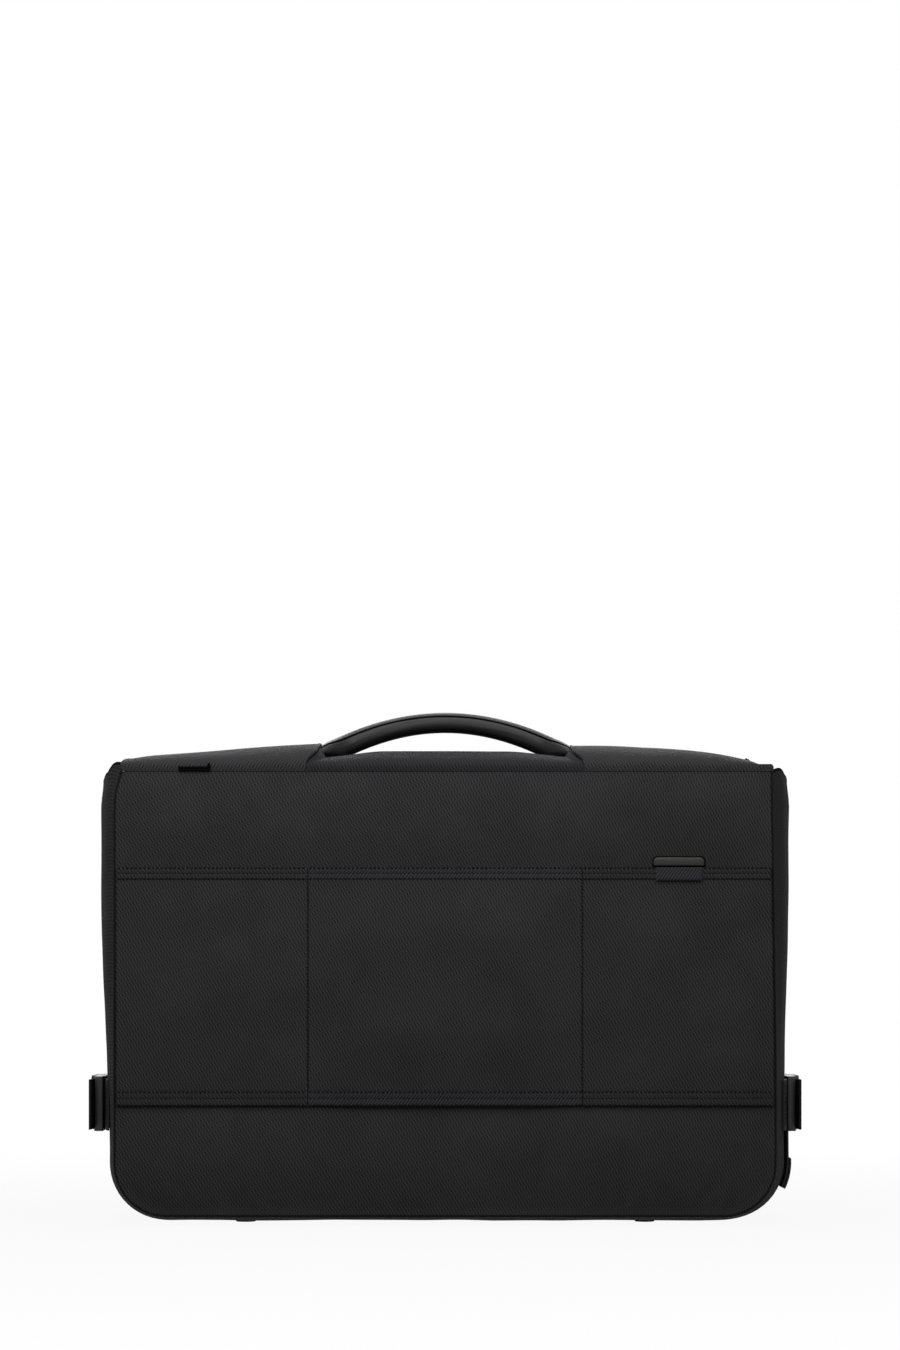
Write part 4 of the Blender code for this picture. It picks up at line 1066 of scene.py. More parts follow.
@dataclass
class TrolleyBelt:
    """The belt over the rear panel: two side panels, stitched bands and the trolley sleeve."""

    shape: BagShape
    swell: float = 0.0009
    seam_clear: float = 0.0008
    sleeve_thick: float = 0.0014
    sleeve_edge: float = 0.0012
    sleeve_ease: float = 0.045
    sleeve_swell: float = 0.0004
    mouth_share: float = 0.25
    mouth_reach: float = 0.060
    seam_sink: float = 0.0004
    band_depth: float = 0.0010
    band_lean: float = 0.6
    band_stitches: tuple[tuple[str, float, float], ...] = (
        ("middle", 0.5, 0.0005), ("upper", 0.98, 0.0009), ("lower", 0.05, 0.0005))
    groove: float = 0.45

    def build(self) -> None:
        """Build every piece of the belt."""
        self.build_sleeve()
        for side in Side:
            self.build_side_panel(side)
            for level in ("upper", "lower"):
                node = level + "_belt_band_" + side.word
                low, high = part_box(node)
                inner = min(abs(low.x), abs(high.x))
                outer = min(max(abs(low.x), abs(high.x)), self.shape.reach(side, high.z) - self.seam_clear)
                span = sorted((side.value * inner, side.value * outer))
                self.build_band(node, span, lambda x, z, base=high.y: base, OUTER_CLOTH)
        low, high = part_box("trolley_sleeve")
        half = high.x - self.sleeve_edge / 2
        for level in ("top", "bottom"):
            self.build_band("sleeve_hem_" + level, (-half, half), self.sleeve_face, BAND_CLOTH)

    def build_side_panel(self, side: Side) -> Object:
        """Build the flat panel at one side of the sleeve."""
        node = "belt_panel_" + side.word
        low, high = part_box(node)
        inner = min(abs(low.x), abs(high.x))
        furthest = max(abs(low.x), abs(high.x))

        def place(along: float, up: float) -> tuple[float, float, float]:
            """A point on the outer face, which swells a little between its seams."""
            z = low.z + (high.z - low.z) * up
            outer = min(furthest, self.shape.reach(side, z) - self.seam_clear)
            share = along if side is Side.RIGHT else 1 - along
            x = side.value * (inner + (outer - inner) * share)
            inside = smooth(min(share, 1 - share) * (outer - inner) / 0.02)
            level = smooth(min(up, 1 - up) * (high.z - low.z) / 0.04)
            uneven = 1 + 0.4 * ripple((x, 0.0, z), 0.06, 2.0)
            return (x, low.y - self.swell * inside * level * uneven, z)

        piece = thicken(drape("belt_cloth_" + side.word, 40, 50, place), high.y - low.y, -1.0)
        dress(face_outwards(piece), OUTER_CLOTH)
        return seat(piece, "rear_section", "twill", node)

    def sleeve_face(self, x: float, z: float) -> float:
        """Y of the sleeve's outer face: a soft pillow between its two sewn sides."""
        low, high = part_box("trolley_sleeve")
        rise = high.y - low.y - self.sleeve_thick
        share = smooth((high.x - abs(x) - self.sleeve_edge) / self.sleeve_ease)
        level = smooth(min(z - low.z, high.z - z) / self.mouth_reach)
        share *= self.mouth_share + (1 - self.mouth_share) * level
        soft = self.sleeve_swell * ripple((x, 0.0, z), 0.07, 7.0) * share
        return high.y - self.sleeve_thick - rise * share + soft

    def build_sleeve(self) -> Object:
        """Build the trolley sleeve, sewn at its sides and open at top and bottom."""
        low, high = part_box("trolley_sleeve")

        def place(along: float, up: float) -> tuple[float, float, float]:
            """A point on the outer face."""
            x = (2 * along - 1) * high.x
            z = low.z + (high.z - low.z) * up
            return (x, self.sleeve_face(x, z), z)

        piece = thicken(drape("trolley_sleeve_cloth", 90, 60, place), self.sleeve_thick, -1.0)
        dress(face_outwards(piece), OUTER_CLOTH)
        seat(piece, "rear_section", "twill", "trolley_sleeve")
        for side in Side:
            x = side.value * (high.x - self.sleeve_edge / 2)
            y = high.y - self.sleeve_thick - self.seam_sink / 2
            row = stitch_row("sleeve_side_stitches_" + side.word, [(x, y, low.z), (x, y, high.z)], (0, -1, 0),
                             0.0020, 0.0025)
            seat(dress(row, THREAD), "rear_section", "webbing")
        return piece

    def build_band(self, node: str, span: Sequence[float], base: Callable[[float, float], float],
                   finish: WovenCloth) -> Object:
        """Build one folded band: two soft ridges with a sewn groove between, and its stitches.

        Args:
            node: Node of the frame that the band stands for.
            span: Lowest and highest X.
            base: Gives the Y of the face that the band lies on.
            finish: Cloth of the band.

        Returns:
            The band.
        """
        low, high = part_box(node)
        height = high.z - low.z

        def place(along: float, up: float) -> tuple[float, float, float]:
            """A point on the outer face of the band."""
            x = span[0] + (span[1] - span[0]) * along
            z = low.z + height * up
            ridge = abs(sin(2 * pi * up)) ** 0.45
            depth = self.band_depth * (1 - self.band_lean * (1 - up))
            return (x, base(x, z) - depth * (1 - self.groove + self.groove * ridge), z)

        piece = drape(node + "_tape", 72, 24, place)
        thicken(piece, self.band_depth * (1 - self.groove) * 0.8, -1.0)
        dress(face_outwards(piece), finish)
        seat(piece, "rear_section", "webbing", node)
        steps = 40
        for word, share, radius in self.band_stitches:
            line = [place(step / steps, share) for step in range(steps + 1)]
            row = stitch_row(node + "_stitches_" + word, line, (0, -1, 0), radius=radius)
            seat(dress(row, THREAD), "rear_section", "webbing")
        return piece


@dataclass
class Badge:
    """The bare moulded bar above the belt and the woven tab that holds it."""

    edge: float = 0.0009
    corner: float = 0.0034
    hem: float = 0.12
    bed_rim: float = 0.0008
    bed_depth: float = 0.45

    def build(self) -> None:
        """Build the bar, the dark bed that it is sewn on, and its tab."""
        low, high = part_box("badge_plate")
        rim = Vector((self.bed_rim, 0.0, self.bed_rim))
        bar = self.build_bar("badge_bar", low + rim, high - rim, BADGE_PLASTIC)
        seat(bar, "rear_section", "badge", "badge_plate")
        bed_face = Vector((0.0, (high.y - low.y) * self.bed_depth, 0.0))
        seat(self.build_bar("badge_bed", low + bed_face, high, SLIT_TAPE), "rear_section", "badge")
        self.build_tab()

    def build_bar(self, name: str, low: Vector, high: Vector, finish: Finish) -> Object:
        """Build a flat bar with rounded upper corners between two corners of its box."""
        piece = block(name, low, high)

        def upper_corner(first: Vector, second: Vector) -> bool:
            """Tell an edge that runs through the bar at one of its upper corners."""
            return min(first.z, second.z) > high.z - SEAM_GAP and abs(first.x - second.x) < SEAM_GAP

        select_edges(piece, upper_corner)
        bpy.ops.mesh.bevel(offset=self.corner, segments=6, affect="EDGES")
        bpy.ops.object.mode_set(mode="OBJECT")
        apply_modifier(piece, "BEVEL", width=min(self.edge, (high.y - low.y) / 3), segments=3,
                       limit_method="ANGLE", angle_limit=radians(50))
        return dress(face_outwards(piece), finish, 50)

    def build_tab(self) -> Object:
        """Build the woven tab that folds down over the upper band."""
        low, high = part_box("badge_tab")

        def place(along: float, up: float) -> tuple[float, float, float]:
            """A point on the tab's outer face, pressed in at its sides and lower hem."""
            x = low.x + (high.x - low.x) * along
            edge = smooth(min(along, 1 - along) / 0.05) * smooth(up / self.hem)
            return (x, high.y - (high.y - low.y) * (0.45 + 0.55 * edge), low.z + (high.z - low.z) * up)

        piece = thicken(drape("badge_woven_tab", 40, 16, place), (high.y - low.y) * 0.4, -1.0)
        return seat(dress(face_outwards(piece), BAND_CLOTH), "rear_section", "webbing", "badge_tab")


@dataclass(frozen=True)
class RidgeProfile:
    """Fall of the dome's ridge from the handle well to one end of the bag."""

    rise: float
    fall: float
    power: float

    def at(self, outwards: float) -> float:
        """Rise of the ridge at a share of the way to the end."""
        return self.rise - self.fall * min(1.0, max(0.0, outwards)) ** self.power


@dataclass
class SpineDome:
    """The domed top: two side panels, the handle well, bound ends, flaps and small trim."""

    shape: BagShape
    half_depth: float
    base: float
    skirt: float = 0.003
    thick: float = 0.004
    shoulder_power: float = 0.909
    well_ridge: float = 0.0958
    well_seam: float = 0.1058
    well_flare: float = 10.0
    well_rise: float = 0.0145
    well_dish: float = 0.007
    well_dish_half: float = 0.038
    well_droop: float = 0.0050
    droop_start: float = 0.045
    wall_run: float = 0.0035
    seam_radius: float = 0.0011
    flap_inset: float = 0.0035
    slit_trim: float = 0.0014
    tab_from: tuple[float, float] = (0.2318, 0.3548)
    tab_to: tuple[float, float] = (0.2449, 0.3462)
    tab_thick: float = 0.0016
    end_drops: dict[Side, tuple[tuple[float, float, float, float], ...]] = field(default_factory=lambda: {
        Side.LEFT: ((0.222, 0.014, 0.0012, 1.5), (0.238, 0.009, 0.0048, 2.0)),
        Side.RIGHT: ((0.110, 0.040, 0.0016, 1.5), (0.2300, 0.0165, 0.0100, 1.2))})
    ridges: dict[Side, RidgeProfile] = field(default_factory=lambda: {
        Side.LEFT: RidgeProfile(0.0203, 0.0112, 1.15), Side.RIGHT: RidgeProfile(0.0190, 0.0165, 4.0)})

    @classmethod
    def from_frame(cls, shape: BagShape) -> "SpineDome":
        """Read the dome's reach from its nodes."""
        low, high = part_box("spine_panel_right")
        return cls(shape, half_depth=high.y, base=low.z)

    def build(self) -> None:
        """Build every piece of the dome."""
        for side in Side:
            self.build_side_panel(side)
            self.build_end(side)
        self.build_well()
        self.build_slit_binding()
        self.build_strap_tab()

    def arch(self, across: float) -> tuple[float, float, float]:
        """Y, skirt height and share of the rise, from the rear fold line to the front one."""
        half = self.half_depth - self.thick / 2
        skirt_share = 0.03
        if across < skirt_share or across > 1 - skirt_share:
            near = min(across, 1 - across) / skirt_share
            return (-half if across < 0.5 else half), self.skirt * near, 0.0
        angle = ((across - skirt_share) / (1 - 2 * skirt_share) * 2 - 1) * pi / 2
        reach = abs(sin(angle)) ** self.shoulder_power
        return (half * reach if angle >= 0 else -half * reach), self.skirt, max(cos(angle), 0.0)

    def arch_share(self, y: float) -> float:
        """Share of the rise at a distance from the ridge."""
        reach = min(1.0, abs(y) / (self.half_depth - self.thick / 2))
        return sqrt(1 - reach ** (2 / self.shoulder_power))

    def end(self, side: Side) -> float:
        """Distance of the dome's end from the middle of the bag."""
        return self.shape.reach(side, self.shape.top)

    def well_half(self, y: float) -> float:
        """Half the width of the handle well, which flares towards the fold lines."""
        flare = (abs(y) / self.half_depth) ** self.well_flare
        return self.well_ridge + (self.well_seam - self.well_ridge) * flare

    def side_rise(self, side: Side, x: float) -> float:
        """Rise of the ridge at a distance from the middle of the bag, rounded off at its end."""
        rise = self.ridges[side].at((x - self.well_ridge) / (self.end(side) - self.well_ridge))
        for start, run, drop, power in self.end_drops[side]:
            rise -= drop * min(1.0, max(0.0, (x - start) / run)) ** power
        return max(0.0, rise)

    def side_point(self, side: Side, along: float, across: float) -> Vector:
        """A point on the middle of a side panel."""
        y, skirt, share = self.arch(across)
        inner = self.well_half(y) + SEAM_GAP
        x = inner + along * (self.end(side) - inner)
        uneven = 0.0006 * share * ripple((x, y, 0.0), 0.06, side.value * 2.0)
        return Vector((side.value * x, y, self.base + skirt + self.side_rise(side, x) * share + uneven))

    def build_side_panel(self, side: Side) -> Object:
        """Build one padded side of the dome and the sewn seam along its inner edge."""
        piece = drape("spine_cloth_" + side.word, 48, 80, lambda u, v: self.side_point(side, u, v))
        thicken(piece, self.thick)
        dress(face_outwards(piece), OUTER_CLOTH)
        seat(piece, "spine", "weave", "spine_panel_" + side.word)
        steps = 70
        lift = Vector((0.0, 0.0, self.thick / 2 - self.seam_radius / 2))
        points = [self.side_point(side, 0.0, 0.02 + 0.96 * step / steps) + lift for step in range(steps + 1)]
        seam = tube("well_seam_" + side.word, points, self.seam_radius, 1)
        seat(dress(seam, PIPING_CLOTH), "spine", "piping")
        return piece

    def build_end(self, side: Side) -> None:
        """Build the bound end of the dome and the flap that closes it."""
        steps = 60
        points = [self.side_point(side, 1.0, step / steps) for step in range(steps + 1)]
        binding = tube("spine_end_binding_" + side.word, points, self.thick / 2 + 2 * SEAM_GAP)
        seat(dress(binding, OUTER_CLOTH), "spine", "weave")
        node = "spine_end_flap_" + side.word
        low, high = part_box(node)
        reach = self.end(side) - self.flap_inset

        def place(along: float, up: float) -> tuple[float, float, float]:
            """A point on the flap, which hangs from the end of the dome."""
            y = low.y + (high.y - low.y) * along
            top = self.base + self.skirt + self.side_rise(side, reach) * self.arch_share(y) - self.thick / 2
            z = low.z + (top - low.z) * up
            return (side.value * (reach + 0.0008 * ripple((0.0, y, z), 0.03, 4.0)), y, z)

        piece = thicken(drape("spine_end_cloth_" + side.word, 60, 14, place), high.x - low.x, -side.value)
        seat(dress(face_outwards(piece), TOP_CLOTH), "spine", "weave", node)

    def build_well(self) -> Object:
        """Build the sunken panel under the handle, whose sides climb to the side panels."""

        def place(along: float, across: float) -> tuple[float, float, float]:
            """A point on the well's panel."""
            y, skirt, share = self.arch(across)
            half = self.well_half(y)
            dish = self.well_dish * exp(-(y / self.well_dish_half) ** 6)
            x = half * (2 * along - 1)
            dish += self.well_droop * smooth((abs(x) - self.droop_start) / (half - self.droop_start))
            floor = self.base + skirt + (self.well_rise - dish) * share
            rise = self.ridges[Side.LEFT if x < 0 else Side.RIGHT].rise
            brim = self.base + skirt + rise * share - 2 * SEAM_GAP
            climb = smooth((abs(x) - half + self.wall_run) / self.wall_run)
            uneven = 0.0005 * share * ripple((x, y, 0.0), 0.05, 9.0)
            return (x, y, floor + (brim - floor) * climb + uneven)

        piece = drape("handle_well_cloth", 100, 80, place)
        thicken(piece, self.thick)
        # The well takes the darker cloth, whose colour is painted shade of the handle's shadow.
        dress(face_outwards(piece), WELL_PAINTED_SHADE_CLOTH)
        return seat(piece, "spine", "weave", "handle_well")

    def build_slit_binding(self) -> Object:
        """Build the bound slit for the hanging hook: a flat black tape with rolled lips."""
        low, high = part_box("hook_slit_binding")
        high.z -= self.slit_trim

        def place(along: float, up: float) -> tuple[float, float, float]:
            """A point on the tape; its lips roll out above and below the slit."""
            x = low.x + (high.x - low.x) * along
            lips = abs(sin(2 * pi * up)) ** 0.5
            ends = smooth(min(along, 1 - along) / 0.06)
            return (x, high.y - (high.y - low.y) * (0.3 + 0.7 * lips * ends), low.z + (high.z - low.z) * up)

        piece = thicken(drape("hook_slit_tape", 60, 24, place), SEAM_GAP, -1.0)
        seat(dress(face_outwards(piece), SLIT_TAPE), "spine", "webbing", "hook_slit_binding")
        nub = block("hook_slit_nub", (high.x - 0.0024, low.y, high.z - 0.001),
                    (high.x - 0.0002, high.y - SEAM_GAP, high.z + 0.0024), 0.0004, 2)
        seat(dress(nub, SLIT_TAPE), "spine", "webbing")
        return piece

    def build_strap_tab(self) -> Object:
        """Build the webbing tab sewn over the right end of the dome, and its two stitch rows."""
        low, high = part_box("strap_tab_right")
        start, stop = Vector(self.tab_from), Vector(self.tab_to)

        def place(along: float, across: float) -> Vector:
            """A point on the upper face of the tab, which stands a little off the dome."""
            x, z = start.lerp(stop, along)
            return Vector((x, low.y + (high.y - low.y) * across, z))

        piece = thicken(drape("strap_tab_webbing", 24, 28, place), self.tab_thick, -1.0)
        seat(dress(face_outwards(piece), BAND_CLOTH), "spine", "webbing", "strap_tab_right")
        for word, along in (("inner", 0.15), ("outer", 0.85)):
            line = [place(along, step / 10) for step in range(11)]
            row = stitch_row("strap_tab_stitches_" + word, line, (0, 0, 1))
            seat(dress(row, THREAD), "spine", "webbing")
        return piece


@dataclass
class FoldTapes:
    """The two cloth tapes behind the fold lines, which bend as the bag opens."""

    shape: BagShape
    behind: float = 0.0011
    low: float = 0.326
    high: float = 0.3455
    bend_half: float = 0.0045
    thick: float = 0.0006
    end_clear: float = 0.0005

    def build(self) -> None:
        """Build the tape behind each fold line."""
        self.build_tape("rear_fold_tape", -1, "rear_section", "spine")
        self.build_tape("front_fold_tape", 1, "front_section", "spine")

    def build_tape(self, name: str, towards: int, below: str, above: str) -> Object:
        """Build one tape and bake its place into its mesh.

        Args:
            name: Name of the piece.
            towards: Sign of the Y of its fold line.
            below: Body below the fold, named in the log.
            above: Body above the fold, named in the log.

        Returns:
            The tape.
        """
        y = towards * (self.shape.half_depth - self.behind)

        def place(along: float, up: float) -> tuple[float, float, float]:
            """A point on the tape."""
            left = self.shape.reach(Side.LEFT, self.shape.top) - self.end_clear
            right = self.shape.reach(Side.RIGHT, self.shape.top) - self.end_clear
            return (along * (left + right) - left, y, self.low + (self.high - self.low) * up)

        piece = dress(face_outwards(thicken(drape(name, 60, 26, place), self.thick)), OUTER_CLOTH)
        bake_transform(piece)
        LOG.info("%s: bends between %s and %s", name, below, above)
        return piece


@dataclass
class CarryHandle:
    """The padded carry handle: a soft roll in two halves with flared ends, and a seam along each side."""

    top: float = 0.3903
    underside: float = 0.3748
    top_fall: float = 2.75
    underside_fall: float = 3.3
    half_length: float = 0.0985
    half_width: float = 0.0148
    end_height: float = 0.70
    end_width: float = 0.75
    floor: float = 0.3536
    squareness: float = 0.85
    bend_from: float = 0.080
    bend_to: float = 0.048
    flare_start: float = 0.66
    flare_width: float = 0.050
    flare_droop: float = 0.0195
    arch_half: float = 0.098
    arch_power: float = 2.2
    seam_radius: float = 0.0008
    seam_turns: tuple[tuple[str, float], ...] = (("rear", 0.42), ("front", 0.08))

    def build(self) -> None:
        """Build the two halves of the cover, and their seams."""
        for side in Side:
            piece = drape("handle_cover_" + side.word, 66, 56, lambda u, v: self.surface(side, u, v))
            close_ends(piece)
            dress(piece, HANDLE_CLOTH)
            if side is Side.LEFT:
                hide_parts("handle_grip")
            self.bend(piece, side, "twill")
            for word, turn in self.seam_turns:
                points = [self.surface(side, step / 60, turn) for step in range(61)]
                seam = tube("handle_seam_" + word + "_" + side.word, points, self.seam_radius, 1)
                self.bend(dress(seam, SLIT_TAPE), side, "piping")

    def bend(self, piece: Object, side: Side, slot: str) -> None:
        """Bake one half's place into its mesh and log it."""
        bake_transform(piece)
        LOG.info("%s: %d faces, bends between spine and handle", piece.name, len(piece.data.polygons))

    def surface(self, side: Side, along: float, turn: float) -> tuple[float, float, float]:
        """A point on the cover.

        Args:
            side: Half of the handle.
            along: Share of the half's length, from the middle of the bag.
            turn: Share of a turn round the section, from +Y over the top.

        Returns:
            The point.
        """
        x = side.value * along * self.half_length
        top = self.top - self.top_fall * x * x
        low = max(self.underside - self.underside_fall * x * x, self.floor)
        taper = sqrt(max(0.0, 1 - along ** 7))
        half_height = (top - low) / 2 * (self.end_height + (1 - self.end_height) * taper)
        swell = 1 + 0.12 * along ** 2
        half_width = self.half_width * swell * (self.end_width + (1 - self.end_width) * taper)
        flare = smooth((along - self.flare_start) / (1 - self.flare_start)) ** 2
        half_width += self.flare_width * flare
        across, up = cos(2 * pi * turn), sin(2 * pi * turn)
        uneven = 1 + 0.03 * ripple((x, across, up), 0.03, 6.0) * min(1.0, 4 * along)
        y = half_width * np.copysign(abs(across) ** self.squareness, across) * uneven
        z = half_height * np.copysign(abs(up) ** self.squareness, up)
        arch = sqrt(max(0.0, 1 - (abs(y) / self.arch_half) ** self.arch_power))
        return (x, y, (top + low) / 2 + z - self.flare_droop * (1 - arch) * flare)


@dataclass
class SideStraps:
    """The webbing at both sides, its buckles with sprung prongs, and the hanging hemmed end."""

    shape: BagShape
    width: float = 0.038
    thick: float = 0.0016
    gap: float = 0.0005
    bend: float = 0.0022
    anchor_y: float = 0.072
    tail_y: float = 0.056
    frame_bar: float = 0.005
    frame_slot: float = 0.0075
    frame_lift: float = 0.001
    frame_thick: float = 0.007
    sewn_length: float = 0.014
    sewn_inset: float = 0.004
    tail_turn: float = 0.40
    rib_count: int = 5
    rib_pitch: float = 0.0030
    rib_rise: float = 0.0007

    def build(self) -> None:
        """Build the straps and buckles of both sides, and the hanging end."""
        for side in Side:
            for facing in Facing:
                self.build_strap(side, facing)
            self.build_buckle(side)
        self.build_tail()

    @property
    def peak_across(self) -> float:
        """Share across a gusset at which it swells furthest."""
        return 0.5 / self.shape.swell_span

    def strap_face(self, side: Side, y: float) -> float:
        """Distance of a strap's middle from the middle of the bag where it lies on the gusset."""
        return self.shape.side_surface(side, y, self.shape.strap_height) + self.gap + self.thick / 2

    def run(self, side: Side) -> list[tuple[float, float]]:
        """Middle line of a strap, as distances from the middle of the bag along X and Y."""
        shape = self.shape
        low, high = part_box("male_buckle_" + side.word)
        frame_in = min(abs(low.x), abs(high.x))
        loop_y = -low.y - self.frame_bar - self.frame_slot / 2
        inner = frame_in - self.frame_lift - self.thick / 2
        outer = frame_in + self.frame_thick + 2 * SEAM_GAP + self.thick / 2
        span = shape.gusset_far - shape.gusset_near
        peak_y = shape.half_depth - shape.gusset_near - span * self.peak_across
        steps = 12
        line = []
        for step in range(steps + 1):
            y = self.anchor_y + (peak_y - self.anchor_y) * step / steps
            line.append((self.strap_face(side, y), y))
        line += arc_points((inner + self.bend, loop_y + self.bend), self.bend, pi, 1.5 * pi)
        line += arc_points((outer - self.bend, loop_y + self.bend), self.bend, 1.5 * pi, 2 * pi)
        back = self.tail_y - loop_y - self.bend
        line += [(outer, loop_y + self.bend + back * step / steps) for step in range(1, steps + 1)]
        return line

    def build_strap(self, side: Side, facing: Facing) -> Object:
        """Build one strap, which runs to a buckle's bar and folds back over it."""
        node = facing.word + "_strap_" + side.word
        line = self.run(side)
        height = self.shape.strap_height

        def place(along: float, across: float) -> tuple[float, float, float]:
            """A point on the strap, which stands on edge."""
            x, y = line[round(along * (len(line) - 1))]
            return (side.value * x, facing.value * y, height + (across - 0.5) * self.width)

        piece = thicken(drape(node + "_webbing", len(line) - 1, 12, place), self.thick)
        seat(dress(face_outwards(piece), WEBBING_CLOTH), facing.body, "webbing", node)
        half = self.width / 2 - self.sewn_inset
        far_y = self.anchor_y - self.sewn_inset / 2
        near_y = far_y - self.sewn_length
        corners = [(far_y, -half), (far_y, half), (near_y, half), (near_y, -half), (far_y, -half),
                   (near_y, half), (near_y, -half), (far_y, half)]
        line = []
        for y, z in corners:
            x = self.strap_face(side, y) + self.thick / 2
            line.append((side.value * x, facing.value * y, height + z))
        row = stitch_row(node + "_box_stitches", line, (side.value, 0, 0))
        seat(dress(row, THREAD), facing.body, "webbing")
        return piece

    def build_buckle(self, side: Side) -> None:
        """Build both halves of one buckle, its two prongs and the grip ribs on its outer face."""
        male = "male_buckle_" + side.word
        seat(dress(softened(male + "_frame", male, 0.0004), ACETAL), "rear_section", "acetal", male)
        female = "female_buckle_" + side.word
        seat(dress(softened(female + "_shell", female, 0.0005), ACETAL), "front_section", "acetal", female)
        for level in ("upper", "lower"):
            node = "buckle_prong_" + side.word + "_" + level
            piece = dress(softened(node + "_spring", node, 0.0005), ACETAL)
            seat(piece, "prong_" + side.word + "_" + level, "acetal", node)
        low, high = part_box(female)
        face = max(abs(low.x), abs(high.x))
        half = self.width * 0.34
        rib = block("grip_rib", (-self.rib_rise, -0.0007, -half), (self.rib_rise, 0.0007, half), 0.0005, 2)
        height = self.shape.strap_height
        places = [Matrix.Translation((side.value * face, 0.0005 + self.rib_pitch * step, height))
                  for step in range(self.rib_count)]
        ribs = repeat("buckle_grip_ribs_" + side.word, rib, places)
        seat(dress(ribs, ACETAL), "front_section", "acetal")

    def build_tail(self) -> None:
        """Build the end of the right strap, which hangs down the side and turns in with the corner."""
        shape = self.shape
        low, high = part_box("strap_tail_right")
        centre_x = shape.half_width - shape.corner_radius
        centre_z = shape.bottom + shape.corner_radius
        top = shape.strap_height - self.width / 2 - SEAM_GAP
        steps = 10
        edges = []
        for step in range(steps):
            edges.append(EdgePoint(shape.half_width, top + (centre_z - top) * step / steps, 1.0, 0.0))
        for step in range(steps + 1):
            angle = self.tail_turn * step / steps
            edges.append(EdgePoint(centre_x + shape.corner_radius * cos(angle),
                                   centre_z - shape.corner_radius * sin(angle), cos(angle), -sin(angle)))

        def point(edge: EdgePoint, across: float, lift: float) -> Vector:
            """A point of the hanging webbing, lifted off the gusset."""
            out = shape.gusset_offset(edge, self.peak_across) + shape.gusset_wall / 2 + self.gap + lift
            return Vector((edge.x + edge.normal_x * out, low.y + (high.y - low.y) * across,
                           edge.z + edge.normal_z * out))

        hem = edges[steps - 1:]
        layers = (("webbing", edges, self.thick / 2), ("hem", hem, self.thick * 1.5 + SEAM_GAP))
        for word, part, lift in layers:
            piece = drape("strap_tail_" + word, 14, len(part) - 1,
                          lambda u, v, part=part, lift=lift: point(part[round(v * (len(part) - 1))], u, lift))
            face_outwards(thicken(piece, self.thick))
            apply_modifier(piece, "BEVEL", width=self.thick / 4, segments=2, limit_method="ANGLE",
                           angle_limit=radians(60))
            stands_for = ("strap_tail_right",) if word == "webbing" else ()
            seat(dress(piece, WEBBING_CLOTH), "rear_section", "webbing", *stands_for)
        for word, edge in (("upper", hem[2]), ("lower", hem[-2])):
            line = [point(edge, 0.06 + 0.88 * step / 10, 2 * self.thick + SEAM_GAP) for step in range(11)]
            row = stitch_row("strap_tail_stitches_" + word, line, (1, 0, 0))
            seat(dress(row, THREAD), "rear_section", "webbing")


